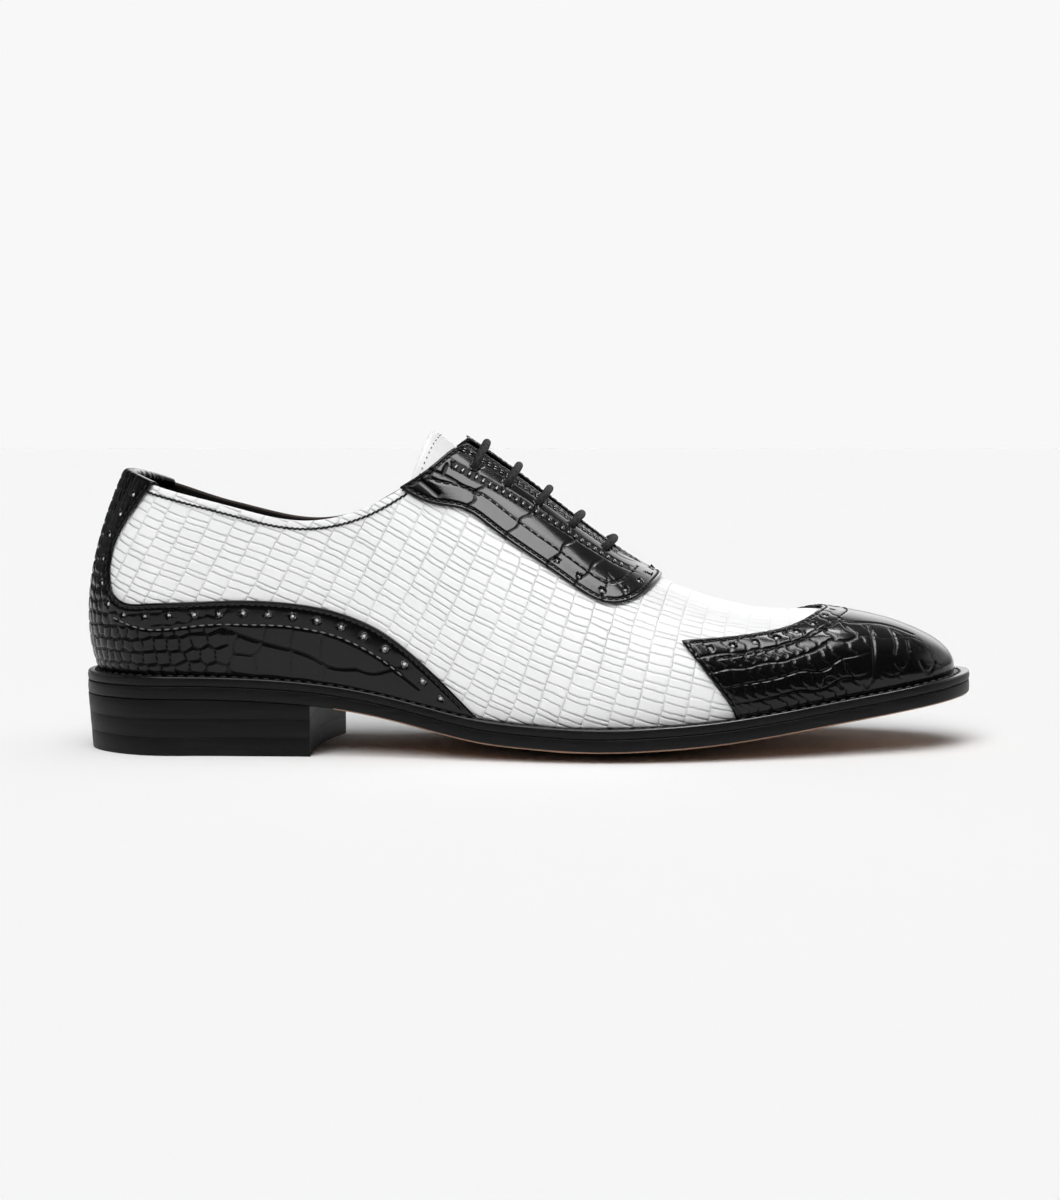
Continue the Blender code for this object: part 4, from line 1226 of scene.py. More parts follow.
counterCreases = [
    [(-101.9, 43.3), (-89.7, 38.9), (-80.4, 36.5), (-71.6, 33.4), (-67.2, 30.9), (-57.6, 30.1)],
    [(-88.1, 43.6), (-88.7, 39.2)], [(-78.8, 43.3), (-79.8, 37.0)], [(-69.3, 40.8), (-69.7, 34.0)],
    [(-97.4, 41.2), (-98.6, 38.2), (-98.8, 35.3), (-95.9, 34.8), (-92.1, 34.6), (-89.8, 37.4), (-88.7, 39.1)],
    [(-92.1, 34.6), (-91.3, 29.6)], [(-79.3, 36.4), (-79.5, 33.1), (-79.9, 28.6)],
    [(-68.1, 32.1), (-68.7, 27.6)], [(-57.6, 30.1), (-51.8, 28.6), (-46.5, 29.9), (-41.2, 31.1)],
    [(-47.3, 31.8), (-41.2, 27.3), (-36.7, 23.8)], [(-98.8, 35.3), (-100.5, 31.5), (-99.8, 28.0)],
]


def counterSeeds(rng):
    places = []  # (side, run from the back seam, climb): rows up from the foot, cells grow forward
    for row in range(18):
        for side in (True, False):
            at = rng.uniform(0.5, 3.5)
            while at < 95:
                grow = float(smoothStep(35, 80, at))
                climb = (row + 0.5 + rng.uniform(-0.14, 0.14)) * (4.2 + 1.6 * grow)
                strip = climb > 33
                if climb < 90 and not (strip and at > 34):
                    places.append((side, at, climb))
                at += (2.9 if strip else 4.0 + 3.6 * grow) * rng.uniform(0.75, 1.25)
    seeds = []
    for side, at, climb in places:
        s = float(np.interp(at, runs[side][1], stationGrid))
        column = runs[side][0][int(round(s * (len(stationGrid) - 1)))]
        seeds.append(form.base(s, onSide(float(np.interp(climb, column, girthGrid)), side)))
    return np.array(seeds)


def counterSide(lateral):
    target, foot = through(counterEdge, 0.5), counterSize["foot"]
    edge = form.locate(target, lateral)
    miss = np.linalg.norm(form.base(*edge.T)[:, [0, 2]] - target, axis=1)
    share = onSide(edge[:, 1], lateral)
    edge = edge[(miss < 0.2) & (share <= form.shareAtCollar(edge[:, 0], lateral)) & (share > foot)]
    collarS = np.linspace(0, edge[0, 0], 60)
    collarShare = form.shareAtCollar(collarS, lateral)
    left = np.stack([collarS, onSide(collarShare, lateral)], axis=1)
    edge[0, 1] = left[-1, 1]
    down = np.stack([np.zeros(160), onSide(np.linspace(collarShare[0], foot, 160), lateral)], axis=1)
    forward = np.linspace(0, edge[-1, 0], 240)[1:]
    forward = np.stack([forward, np.full(len(forward), onSide(foot, lateral))], axis=1)
    edge = np.concatenate([edge, forward[-1:]])
    right = np.repeat(edge[-1:], 2, axis=0) + np.array([[0, 0], [1e-6, 0]])
    return np.concatenate([down, forward]), edge, left, right


def collarFold(first, left, v, lateral):  # the back strip's end, rolled over the collar
    s, g = resample(left, v).T
    up = form.slopes(s, g)[1] * (1 if lateral else -1)
    up /= np.linalg.norm(up, axis=1, keepdims=True)
    out, core = form.normal(s, g), form.base(s, g)
    lean = np.sum((first - core) * out, axis=1) + 1.0
    rows = [first]
    for angle in np.radians(np.arange(18, 181, 18)):
        rise = (counterSize["rise"] * math.sin(angle) * (1 - 0.4 * v**2))[:, None]
        rows.append(core - out + lean[:, None] * math.cos(angle) * out + rise * up)
    rows.append(rows[-1] - up * (counterSize["fold"] * (1 - 0.5 * v**2))[:, None])
    return {"points": np.array(rows), "flip": lateral, "extras": {"groove": np.zeros((len(rows), len(v)))}}


def buildCounter():
    sheets, holes = [], []
    seeds = counterSeeds(np.random.default_rng(5))
    for lateral in (True, False):
        spine, edge, left, _ = lines = counterSide(lateral)
        _, v, grid, surface = patch(lines, counterSize, edge, False, False, True)
        away = lineDistance(surface, form.base(*edge.T))[0]
        shift, groove = relief(cellSeeds(surface, seeds), counterSize)
        calm = 1 - 0.65 * smoothStep(9.0, 7.5, away)  # flatter in the punched band
        calm = calm * smoothStep(-98, -103, surface[..., 0])  # large plates ahead of the small cells
        shift, groove = shift * calm, groove * calm
        mainCrease = creaseDistance(surface, counterCreases[:1], lateral)
        sideCrease = creaseDistance(surface, counterCreases[1:], lateral)
        trough = np.maximum(trench(mainCrease, 0.6), 0.9 * trench(sideCrease, 0.45))
        shift = shift - counterSize["valley"] * trench(np.minimum(mainCrease, sideCrease), 2.4)
        toward = spread(spine, len(edge))
        seam, holeLine = (inset(edge, toward, brogue[key]) for key in ("seam", "inset"))
        band, seam = form.locate(through(counterBand, 0.8), lateral), seam[4:-12]
        pull = furrow(surface, [seam, band], overlay["pull"])
        lift = overlayTop + shift - pull - 0.35 * trough - edgeDrop(away, *overlay["edge"])
        sheets.append(overlaySheet(grid, lift, groove + pull + trough * 0.7, not lateral))
        sheets.append(collarFold(sheets[-1]["points"][0], left, v, lateral))
        holes.append(brogueRow(holeLine[6:-18]))
        sew(overlaySeams, seam)
        # the band seam uses the thread painted grey as its highlight
        sew(sheenThreadSeams, band, sink=counterSize["sheenThreadSink"])
    return overlayPiece("heelCounterLeather", "heel_counter", sheets, holes)


counterPiece = buildCounter()
print("heel counter:", len(counterPiece.data.polygons), "faces")


# eyestay: both facings and the round end ahead of the throat
stayEdge = [
    (-47.5, 91.2), (-43.5, 89.0), (-36.7, 85.2), (-27.8, 83.0), (-21, 81.2), (-14, 76.4), (-6, 70.6),
    (3, 64.6), (11.4, 58.8), (18.2, 54.2), (23.2, 51.8), (28.0, 50.9), (33.4, 51.8), (38.8, 54.2),
    (43.0, 57.0),
]
staySize = {
    "step": 0.42, "fine": 0.8, "tall": 25.0, "frontX": 45.2, "depth": 0.17, "width": 0.29, "dome": 0.04,
    "eyelet": 1.75, "strip": 15.2, "edge": (0.7, 0.55), "pull": 0.28,
}
stayBeads = {  # rows of beads, measured down from the throat, and the x of their ends
    "low": 13.5, "high": (4.1, 5.5), "lowEnds": (-26, 32), "highEnds": (-26, 28), "sink": 0.25,
}
stayPlates = (-60.0, -36.0, -21.3, -8.5, 5.4, 14.6, 24.0, 33.0, 60.0)  # where cross lines meet the lower edge
staySlit = [(-36.8, 91.6), (-34.2, 89.6), (-31.0, 86.8)]
stayCreases = [
    [(-36.0, 95.8), (-27.4, 92.0), (-20.0, 87.6), (-17.6, 86.4)], [(-28.4, 96.6), (-29.9, 92.8)],
    [(-33.6, 94.4), (-35.6, 90.4)],
]


def staySides():
    knots = []
    for lateral in (True, False):
        line = form.locate(stayEdge, lateral)
        knots.append(np.stack([form.curves["spineX"](line[:, 0]), line[:, 1] * girthScale], axis=1))
    front = [[staySize["frontX"], girthScale]]
    whole = through(np.concatenate([knots[0], front, knots[1][::-1]]), 0.4)
    whole = np.stack([form.stationOfSpine(whole[:, 0]), whole[:, 1] / girthScale], axis=1)
    near = upperLimits(whole[:, 0])[0]
    ahead = (np.arange(len(whole)) > len(whole) // 2 - 120) & (whole[:, 0] > form.stationOfSpine(38))
    cross = int(np.argmax((whole[:, 1] >= near) & ahead))  # where the edge passes the join of the halves
    halves = []
    for lateral, edge in ((True, whole[: cross + 1]), (False, whole[cross:][::-1])):
        inside = onSide(edge[:, 1], lateral) <= form.shareAtCollar(edge[:, 0], lateral)
        edge = edge[int(np.argmax(inside)) :].copy()
        s = np.linspace(edge[0, 0], form.stationOfSpine(throat["closeAt"]), 900)
        line = np.stack([s, upperLimits(s)[0 if lateral else 1]], axis=1)
        edge[0, 1] = line[0, 1]
        top = form.base(*line.T)
        corner = int(np.argmax(top[:500, 2] - np.abs(top[:500, 1] - top[500, 1])))  # top of the throat's edge
        joinS = np.linspace(edge[-1, 0], s[-1], 60)
        right = np.stack([joinS, upperLimits(joinS)[0 if lateral else 1]], axis=1)
        edge[-1] = right[0]
        halves.append((edge, line[corner:], line[: corner + 1], right))
    return halves


def buildEyestay():
    sheets, holes = [], []
    wavy = hills(31, 10, 12, 30)
    beadRows = [(stayBeads["low"], stayBeads["lowEnds"], lowBeads)]
    beadRows += [(down, stayBeads["highEnds"], highBeads) for down in stayBeads["high"]]
    for lateral, lines in zip((True, False), staySides()):
        edge, above, left, _ = lines
        grid, surface = patch(lines, staySize, edge, True, True, True)[2:]
        edgePoints, throatEdge = form.base(*edge.T), form.base(*above.T)
        free = form.base(*np.concatenate([edge[::-1], left, above]).T)
        away = lineDistance(surface, free)[0]
        fromEdge, along = lineDistance(surface, edgePoints)
        fromTop, topRun = lineDistance(surface, throatEdge)
        width = fromEdge + fromTop
        across = fromEdge + 0.25 * wavy(surface)
        plates = np.interp(stayPlates, edgePoints[:, 0], lengths(edgePoints), left=-40, right=300)
        # long plates, a bead row, the smooth eyelet strip, another bead row
        lower = np.clip(width - staySize["strip"], 4, 40)
        share = np.where(across < lower, across / lower * 0.4, 0.4 + (across - lower) / (width - lower) * 0.6)
        tall = np.where(across < lower, lower / 0.4, (width - lower) / 0.6)
        rows = [
            (-1.0, plates, 0.0, tall), (0.4, 60.0, 0.2, tall), (0.53, 12.0, 0.25, tall),
            (0.74, 60.0, 0.2, tall), (0.88, 30.0, 0.2, tall),
        ]
        run = np.where(share < 0.4, along, topRun + 11)
        seed = 41 if lateral else 42
        distance = cellLines(run, share, rows, seed, lambda a, k: 0.5 * np.sin(a * 30 + k))
        shift, groove = relief(distance, staySize)
        x = surface[..., 0]
        # plain at both ends
        calm = 1 - 0.85 * smoothStep(33, 37, x) - smoothStep(-21, -23, x) * (share < 0.4)
        # the beds of the bead rows sink, and their groove value paints them dark as shade
        beadBed = (np.abs(fromTop - stayBeads["low"]) < 1.5) & (x < stayBeads["lowEnds"][1] + 1)
        beadBed |= (np.abs(fromTop - np.mean(stayBeads["high"])) < 1.3) & (x < stayBeads["highEnds"][1] + 1)
        beadBed &= x > stayBeads["lowEnds"][0] - 1
        shift, groove = shift * calm - stayBeads["sink"] * beadBed, np.maximum(groove * calm, 0.9 * beadBed)
        slit, creases = (creaseDistance(surface, some, lateral) for some in ([staySlit], stayCreases))
        trough = np.maximum(trench(slit, 0.8), 0.8 * trench(creases, 0.4))
        toward = spread(above, len(edge))
        seam, band, holeLine = (inset(edge, toward, brogue[key]) for key in ("seam", "band", "inset"))
        goal = edge[len(edge) // 2]
        topSeam, leftSeam = (follow(line, goal, brogue["seam"], free) for line in (above, left))
        band = band[int(0.06 * len(band)) : int(0.93 * len(band))]
        pull = furrow(surface, [seam[4:], band, topSeam, leftSeam], staySize["pull"])
        lift = overlayTop + shift - pull - 0.5 * trough - edgeDrop(away, *staySize["edge"])
        sheets.append(overlaySheet(grid, lift, groove + pull + trough, not lateral))
        holes.append(brogueRow(holeLine[form.base(*holeLine.T)[:, 0] > 7], 0.2, 0.4))
        for down, (rear, fore), beads in beadRows:
            row = follow(above, goal, down, throatEdge)
            x = form.base(*row.T)[:, 0]
            sew(beads, row[(x > rear) & (x < fore)])
        sew(overlaySeams, seam[4:-2], topSeam[:-4], leftSeam)
        sew(bandSeams, band)
    return overlayPiece("eyestayLeather", "eyestay", sheets, holes, staySize["eyelet"])


eyestayPiece = buildEyestay()
print("eyestay:", len(eyestayPiece.data.polygons), "faces")


# tongue
tongueSize = {
    "columns": 150, "rows": 130, "topX": -30.5, "setback": 12.0, "footX": 38.0, "reach": 0.42,
    "clearance": 1.7, "edge": (1.1, 0.5), "seam": 3.4, "seamEnds": 6, "seamLift": 0.12,
}


def tongueGrid():
    reach = np.linspace(-1, 1, tongueSize["columns"])
    start = tongueSize["topX"] - tongueSize["setback"] * np.abs(reach) ** 1.6
    x = start[:, None] + (tongueSize["footX"] - start)[:, None] * np.linspace(0, 1, tongueSize["rows"])[None]
    return form.stationOfSpine(x), np.broadcast_to(1 + tongueSize["reach"] * reach[:, None], x.shape)


def buildTongue():
    s, g = tongueGrid()
    depth = -layers["upperWall"] - tongueSize["clearance"]
    surface = form.point(s, g, np.full(s.shape, depth))
    rim = np.concatenate([surface[0, ::-1], surface[:, 0], surface[-1]])
    drop = edgeDrop(lineDistance(surface, rim)[0], *tongueSize["edge"])
    out = form.normal(s, g)
    top = surface - out * drop[..., None]
    under = surface - out * (layers["tongueWall"] - drop)[..., None]
    uv = lizardUv(s, g) * (0.9, 1.0)
    sheets = [{"points": top, "uv": uv, "flip": True}, {"points": under, "uv": uv, "slot": 1}]
    for overLine, underLine, flip in (  # the cut edges
        (top[0], under[0], True), (top[-1], under[-1], False),
        (top[:, 0], under[:, 0], False), (top[:, -1], under[:, -1], True),
    ):
        sheets.append({"points": np.stack([overLine, underLine], axis=1), "flip": flip})
    obj = sheetMesh("tongueLeather", sheets, [tongueWhite, lining])
    line, outward = [], []
    for column, normals in list(zip(surface, out))[tongueSize["seamEnds"] : -tongueSize["seamEnds"]]:
        line.append(column[np.argmin(np.abs(lengths(column)[1:] - tongueSize["seam"]))])
        outward.append(normals[0])
    line, outward = np.array(line), np.array(outward)
    seam = (line + outward * tongueSize["seamLift"], outward)
    stitches("tongueStitches", [seam], stitching["tongue"], blackThread, "white_leather")
    return place(obj, "white_leather", "tongue")


tonguePiece = buildTongue()
print("tongue:", len(tonguePiece.data.polygons), "faces")


# sole layers run round the whole outline, in rows of (distance from the spine, height function)
def outlineColumns(count):
    s = np.concatenate([np.linspace(0, 1, count), np.linspace(1, 0, count)[1:]])
    lateral = np.concatenate([np.ones(count, bool), np.zeros(count - 1, bool)])
    return s, lateral


def ringSheet(rows, s, lateral):
    grid = []
    for distance, height in rows:
        x, y = form.plan(s, lateral, distance)
        grid.append(np.stack([x, y, height(x, y)], axis=-1))
    return np.array(grid)


def soleRim(s, lateral):
    return form.sided("foot", s, lateral) + form.sided("rim", s, lateral)


heelSize = {
    "lifts": (6.4, 12.6), "joint": 0.02, "taper": 0.075, "middleX": -110.0, "outerX": -73.0, "innerX": -66.0,
    "hollow": 3.0, "round": 0.05, "belly": 0.05,
}
outsoleSize = {
    "columns": 260, "round": 0.3, "bottom": 0.8, "joint": 0.24, "belly": 0.1,
    "topRings": (0.0, 0.6, 0.92), "rings": (0.99, 0.95, 0.9, 0.82, 0.72, 0.6, 0.45, 0.3, 0.15, 0.0),
}
weltSize = {
    "columns": 300, "tuck": 7.0, "round": 0.7, "belly": 0.12, "channel": 0.22, "channelAt": 0.5,
    "threadLift": 0.12,
    "profile": ((-0.7, 0), (-0.45, 0.5), (-0.2, 0.9), (0, 1), (0.2, 0.9), (0.45, 0.5), (0.7, 0)),
    "shiny": (8, 14),  # rows from the channel to the rounded rim
}


def buildWelt():
    s, lateral = outlineColumns(weltSize["columns"])
    foot, rim = form.sided("foot", s, lateral), soleRim(s, lateral)
    r, wall = weltSize["round"], layers["weltWall"]
    stitchAt = foot + form.sided("rim", s, lateral) * weltSize["channelAt"]

    def lowered(amount):
        return lambda x, y: seatSurface(x, y) - amount

    rows = [(foot - inward, seatSurface) for inward in (weltSize["tuck"], 0.6, -0.3)]
    for offset, depth in weltSize["profile"]:
        rows.append((stitchAt + offset, lowered(weltSize["channel"] * depth)))
    for angle in np.radians((90, 68, 45, 22, 0)):
        rows.append((rim - r + r * math.cos(angle), lowered(r - r * math.sin(angle))))
    rows.append((rim + weltSize["belly"], lowered(wall / 2)))
    for angle in np.radians((0, -30, -60, -90)):
        rows.append((rim - r + r * math.cos(angle), lowered(wall - r - r * math.sin(angle))))
    rows += [(foot - inward, lowered(wall)) for inward in (1, weltSize["tuck"])]
    rows.append((foot - weltSize["tuck"], seatSurface))
    grid = ringSheet(rows, s, lateral)
    slot = np.zeros((grid.shape[0] - 1, grid.shape[1] - 1), int)
    slot[slice(*weltSize["shiny"])] = 1
    obj = sheetMesh("weltLeather", [{"points": grid, "flip": True, "slot": slot}], [edgeBlack, weltTop])
    line = ringSheet([(stitchAt, lowered(weltSize["channel"] - weltSize["threadLift"]))], s, lateral)[0]
    seam = evenly(line, 900)
    up = np.tile([0.0, 0.0, 1.0], (len(seam), 1))
    stitches("weltStitches", [(seam, up)], stitching["welt"], blackThread, "sole_edge")
    return place(obj, "sole_edge", "welt")


def buildOutsole():
    s, lateral = outlineColumns(outsoleSize["columns"])
    rim = soleRim(s, lateral)
    r, b, joint = outsoleSize["round"], outsoleSize["bottom"], outsoleSize["joint"]

    def top(x, y):  # nearly touches the welt
        return outsoleTop(x, y) + joint

    rows = [(rim * f, top) for f in outsoleSize["topRings"]]
    for angle in np.radians((90, 60, 30, 0)):
        rows.append((rim - r + r * math.cos(angle), lambda x, y, a=angle: top(x, y) - r + r * math.sin(a)))
    rows.append((rim + outsoleSize["belly"], lambda x, y: (top(x, y) + outsoleBottom(x, y)) / 2))
    for angle in np.radians((0, 25, 50, 70, 90)):
        rows.append((
            rim - b + b * math.cos(angle), lambda x, y, a=angle: outsoleBottom(x, y) + b - b * math.sin(a),
        ))
    edgeRows = len(rows) - 4  # black down to here, tan below
    rows += [(rim * f - (b + 0.4) * (f > 0), outsoleBottom) for f in outsoleSize["rings"]]
    grid = ringSheet(rows, s, lateral)
    slot = np.zeros((grid.shape[0] - 1, grid.shape[1] - 1), int)
    slot[edgeRows:] = 1
    slot[:, grid[edgeRows, :-1, 0] < heelSize["innerX"]] = 0
    sheet = {"points": grid, "flip": True, "slot": slot}
    return place(sheetMesh("outsoleLeather", [sheet], [edgeBlack, tanLeather]), "outsole_leather", "outsole")


insoleSize = {
    "columns": 200, "clearance": 0.6, "topRings": (0.0, 0.2, 0.4, 0.6, 0.75, 0.88, 0.95),
    "edge": ((0.5, 0.0), (0.1, 0.3), (0.0, 0.8)), "underRings": (0.8, 0.4, 0.0),  # edge: inward and down
}


def buildInsole():
    s, lateral = outlineColumns(insoleSize["columns"])
    inner = form.sided("foot", s, lateral) - layers["upperWall"] - insoleSize["clearance"]
    wall = layers["insoleWall"]

    def level(amount):
        return lambda x, y: seatSurface(x, y) + layers["gap"] + amount

    rows = [(inner * f, level(wall)) for f in insoleSize["topRings"]]
    rows += [(inner - inward, level(wall - down)) for inward, down in insoleSize["edge"]]
    rows += [(inner * f, level(0.0)) for f in (1.0, *insoleSize["underRings"])]
    obj = sheetMesh("insoleLining", [{"points": ringSheet(rows, s, lateral), "flip": True}], [lining])
    return place(obj, "lining", "insole")


for build in (buildWelt, buildOutsole, buildInsole):
    build()
print("welt, outsole and insole made")


# heel lifts
def atHeel(level):  # height at the middle of the heel
    return float(level(heelSize["middleX"], 0.0))


def heelOutline(z, extra):
    pull = heelSize["taper"] * (atHeel(outsoleBottom) - z) + extra
    sides = []
    for lateral, breast in ((True, heelSize["outerX"]), (False, heelSize["innerX"])):
        s = np.linspace(0, form.stationOfSpine(breast - 0.4 * (extra > 0)), 90)
        sides.append(np.stack(form.plan(s, lateral, soleRim(s, lateral) - pull), axis=1))
    share = np.linspace(0, 1, 41)[1:-1, None]
    line = sides[0][-1] + (sides[1][-1] - sides[0][-1]) * share
    line[:, 0] -= heelSize["hollow"] * np.sin(math.pi * share[:, 0])
    return np.concatenate([sides[0], line, sides[1][:0:-1]])


def heelPiece(name, low, high, slot, node, bottom):
    r, belly = heelSize["round"], heelSize["belly"]
    rings = []
    for level, lift, extra in (
        (low, 0, r), (low, r * 0.3, r * 0.3), (low, r, 0), (None, 0, -belly),
        (high, -r, 0), (high, -r * 0.3, r * 0.3), (high, 0, r),
    ):
        if level is None:  # half way up
            outline = heelOutline((atHeel(low) + atHeel(high)) / 2, extra)
            z = (low(*outline.T) + high(*outline.T)) / 2
        else:
            outline = heelOutline(atHeel(level) + lift, extra)
            z = level(*outline.T) + lift
        ring = np.column_stack([outline, z])
        rings.append(np.concatenate([ring, ring[:1]]))
    middle = [np.repeat(ring.mean(axis=0)[None], len(ring), axis=0) for ring in (rings[0], rings[-1])]
    grid = np.array([middle[0], *rings, middle[1]])
    slots = np.zeros((grid.shape[0] - 1, grid.shape[1] - 1), int)
    slots[0] = 1
    obj = sheetMesh(name, [{"points": grid, "slot": slots}], [heelBlack, bottom], sharp=50)
    return place(obj, slot, node)


def flat(level):
    return lambda x, y: level + 0 * np.asarray(x)


def underOutsole(x, y):
    return outsoleBottom(x, y) - 0.05


first, second = heelSize["lifts"]
joint = heelSize["joint"]
heelPiece("heelTopPiece", flat(0.0), flat(first), "heel_rubber", "heel_top_piece", rubber)
heelPiece("heelLiftLower", flat(first + joint), flat(second), "sole_edge", "heel_lift_lower", heelBlack)
heelPiece("heelLiftUpper", flat(second + joint), underOutsole, "sole_edge", "heel_lift_upper", heelBlack)
print("heel lifts made")


# lace: bars over the throat, each end running down its eyelet
laceSize = {
    "radius": 1.42, "clear": 0.3, "dip": 1.0, "lean": 2.6, "along": 150, "around": 20, "strands": 4,
    "turn": 1.0, "relief": 0.2, "under": -3.0, "bend": 1.4, "endPoints": 12,
}


def lacePath(number):
    lift, count = overlayTop + laceSize["clear"] + laceSize["radius"], laceSize["endPoints"]
    near, far = eyelets[number, 1], eyelets[number + len(eyeletX), 1]
    share = np.linspace(-1, 1, 61)
    g = near + (far - near) * (share + 1) / 2
    s = form.stationOfSpine(eyeletX[number] + laceSize["lean"] * (1 - share**2))
    over = smoothStep(1.0, 0.72, np.abs(share))
    bar = form.point(s, g, lift - laceSize["dip"] * (1 - over))
    depth = np.linspace(laceSize["under"], lift - laceSize["bend"], count)
    ends = [form.point(np.full(count, s[k]), np.full(count, g[k]), depth) for k in (0, -1)]
    return ease(np.concatenate([ends[0], bar[2:-2], ends[1][::-1]]), 6)


def buildLace(number):
    path = lacePath(number)
    at = np.linspace(0, lengths(path)[-1], laceSize["along"])[:, None]
    path = evenly(path, laceSize["along"])
    tangent = np.gradient(path, axis=0)
    tangent /= np.linalg.norm(tangent, axis=1, keepdims=True)
    side = np.cross(tangent, (1.0, 0.0, 0.0))
    side /= np.linalg.norm(side, axis=1, keepdims=True)
    other = np.cross(tangent, side)
    angle = np.linspace(0, 2 * math.pi, laceSize["around"] + 1)
    turn = laceSize["strands"] * angle[None, :]
    twist = at * 2 * laceSize["turn"]
    weave = np.maximum(np.cos(turn + twist), np.cos(turn - twist))
    radius = laceSize["radius"] * (1 - laceSize["relief"] * (1 - weave) / 2)
    ring = np.cos(angle)[None, :, None] * side[:, None] + np.sin(angle)[None, :, None] * other[:, None]
    tube = path[:, None] + radius[..., None] * ring
    first, final = (np.repeat(path[k][None, None], tube.shape[1], axis=1) for k in (0, -1))
    weave = np.concatenate([weave[:1], weave, weave[-1:]])
    # groove marks the dips between strands, which the lace finish paints darker as shade
    sheet = {
        "points": np.concatenate([first, tube, final]), "flip": True,
        "extras": {"groove": np.clip((1 - weave) / 1.4, 0, 1)},
    }
    place(sheetMesh(f"laceBar{number + 1}", [sheet], [lace]), "lace", f"lace_bar_{number + 1}")


for number in range(len(eyeletX)):
    buildLace(number)
print("lace bars made")


# seams
collarSeam = {"from": 0.06, "toX": -42.0, "points": 260, "inset": 3.1, "lift": 0.12}


def collarSeams():
    seams = []
    for lateral in (True, False):
        s = np.linspace(collarSeam["from"], form.stationOfSpine(collarSeam["toX"]), collarSeam["points"])
        line = np.stack([s, onSide(form.shareAtCollar(s, lateral), lateral)], axis=1)
        foot = np.stack([s, np.full(len(s), onSide(0.2, lateral))], axis=1)
        seams.append(seamOn(inset(line, foot, collarSeam["inset"]), collarSeam["lift"]))
    return seams


holeCentres = guide("holeLeather", holeSpots)
runTree(holeCentres, holeDomes, {
    "Radius": brogue["dome"] * mm, "Rise": brogue["rise"] * mm, "Leather": holeGrey,
})
place(holeCentres, "white_leather")
stitches("collarStitches", collarSeams(), stitching["collar"], blackThread, "white_leather")
for name, seams, kind, material in (
    ("edgeStitches", overlaySeams, "edge", blackThread), ("bandStitches", bandSeams, "band", blackThread),
    ("counterStitches", sheenThreadSeams, "band", greyThread), ("stayBeadsLow", lowBeads, "lowBeads", beadCroc),
    ("stayBeadsHigh", highBeads, "highBeads", beadCroc),
):
    stitches(name, seams, stitching[kind], material, "black_leather")
print("seams sewn")


# floor, light and camera
studio = {
    "front": 0.012, "wall": 0.6, "glossWall": 2.15, "wallLow": 0.45, "wallHigh": 0.7, "high": 0.2,
    "seen": 0.939, "box": 2.5, "boxFrom": 0.9, "boxFull": 0.95, "boxAim": (-0.08, -0.32, 0.944), "floor": 6,
    "wallStart": (-0.3, 0.15, 0.0, 1.0),  # along Y, then what dims the wall along other axes
    "wallFades": (("X", -0.3, 0.05, 0.1, 1.0), ("X", 0.42, 0.7, 1.0, 0.4), ("Z", 0.04, 0.28, 0.3, 1.0)),
}
glossBoxes = {  # seen only in reflections: centre, width, depth, radiance
    "stayBox": ((0.182, -0.16, 0.6), 0.205, 0.4, 10.0),
    "tipBox": ((0.322, 0.0, 0.6), 0.075, 0.17, 9.0),
    "capBox": ((0.465, 0.446, 1.2), 0.2, 0.19, 16.0),
}
suns = {"frontLight": ((-0.3, -0.9, 0.85), 1.34, 30), "topLight": ((0.0, -0.15, 1.0), 0.95, 60)}


def buildFloor():
    mesh, half = bpy.data.meshes.new("floor"), studio["floor"]
    corners = [(-half, -half, 0), (half, -half, 0), (half, half, 0), (-half, half, 0)]
    mesh.from_pydata(corners, [], [(0, 1, 2, 3)])
    f = Finish("paleFloor", **{"Specular IOR Level": 0.0, "Roughness": 1.0})
    speck = f.noise(f.coords(), 3.0, 2.0)
    f.feed("Base Color", f.mix(speck, (0.9, 0.9, 0.9), (0.91, 0.91, 0.91)))
    mesh.materials.append(f.material)
    floor = addObject("floor", mesh)


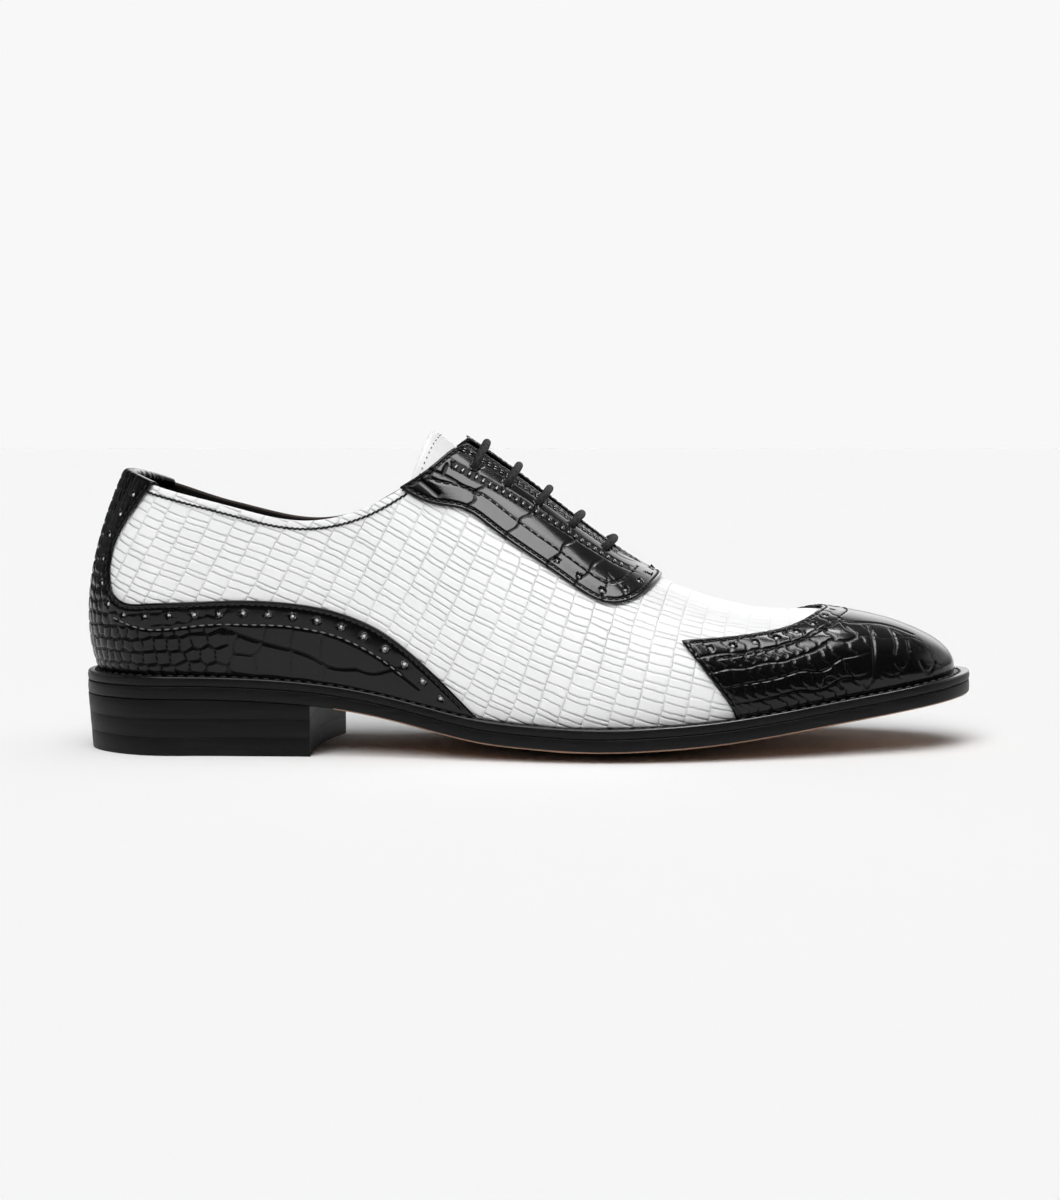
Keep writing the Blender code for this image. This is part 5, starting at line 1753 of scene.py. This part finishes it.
def buildWorld():
    world = bpy.data.worlds.new("studio")
    bpy.context.scene.world = world
    world.use_nodes = True
    tree = world.node_tree
    tree.nodes.clear()
    where = addNode(tree, "ShaderNodeTexCoord")["Generated"]
    axes = addNode(tree, "ShaderNodeSeparateXYZ", None, {0: where})

    def ramp(value, low, high, start, end):
        return addNode(tree, "ShaderNodeMapRange", {"interpolation_type": "SMOOTHSTEP"}, {
            "Value": value, "From Min": low, "From Max": high, "To Min": start, "To Max": end,
        })[0]

    def either(choice, a, b):
        return addNode(tree, "ShaderNodeMix", {"data_type": "FLOAT"}, {0: choice, 2: a, 3: b})[0]

    # dark room in front, pale wall behind, soft box overhead and a little to the front
    path = addNode(tree, "ShaderNodeLightPath")
    shines = either(path["Is Glossy Ray"], studio["wall"], studio["glossWall"])
    rise = ramp(axes["Z"], studio["wallLow"], studio["wallHigh"], shines, studio["high"])
    behind = ramp(axes["Y"], *studio["wallStart"])
    for axis, *span in studio["wallFades"]:
        behind = addMaths(tree, "MULTIPLY", behind, ramp(axes[axis], *span))
    wall = addMaths(tree, "MULTIPLY", behind, rise)
    sockets = {0: where, 1: studio["boxAim"]}
    aim = addNode(tree, "ShaderNodeVectorMath", {"operation": "DOT_PRODUCT"}, sockets)["Value"]
    box = ramp(aim, studio["boxFrom"], studio["boxFull"], studio["front"], studio["box"])
    level = either(path["Is Camera Ray"], addMaths(tree, "ADD", wall, box), studio["seen"])
    shine = addNode(tree, "ShaderNodeBackground", None, {"Color": (1, 1, 1, 1), "Strength": level})[0]
    addNode(tree, "ShaderNodeOutputWorld", None, {"Surface": shine})


def addSun(name, direction, strength, angle):
    data = bpy.data.lights.new(name, "SUN")
    data.energy, data.angle = strength, math.radians(angle)
    obj = addObject(name, data)
    x, y, z = direction
    obj.rotation_euler = (math.atan2(math.hypot(x, y), z), 0, math.atan2(y, x) + math.pi / 2)
    obj.visible_glossy = False


def addGlossBox(name, centre, width, depth, radiance):
    data = bpy.data.lights.new(name, "AREA")
    data.shape, data.size, data.size_y = "RECTANGLE", width, depth
    data.energy = radiance * math.pi * width * depth
    obj = addObject(name, data)
    obj.location = centre  # faces straight down
    obj.visible_diffuse = obj.visible_camera = False


cameraSetup = {"distance": 0.85, "height": 0.1169, "pitch": 4.5, "lens": 73.87, "sensor": 36.0}


def buildCamera():
    data = bpy.data.cameras.new("camera")
    data.sensor_fit, data.sensor_width, data.lens = "AUTO", cameraSetup["sensor"], cameraSetup["lens"]
    data.clip_start, data.clip_end = 0.01, 50
    obj = addObject("camera", data)
    obj.location = (0, -cameraSetup["distance"], cameraSetup["height"])
    obj.rotation_euler = (math.radians(90 - cameraSetup["pitch"]), 0, 0)
    bpy.context.scene.camera = obj


buildFloor()
buildWorld()
for name, values in suns.items():
    addSun(name, *values)
for name, values in glossBoxes.items():
    addGlossBox(name, *values)
buildCamera()
bpy.context.scene.view_settings.view_transform = "Standard"
print("stage, light and camera set")
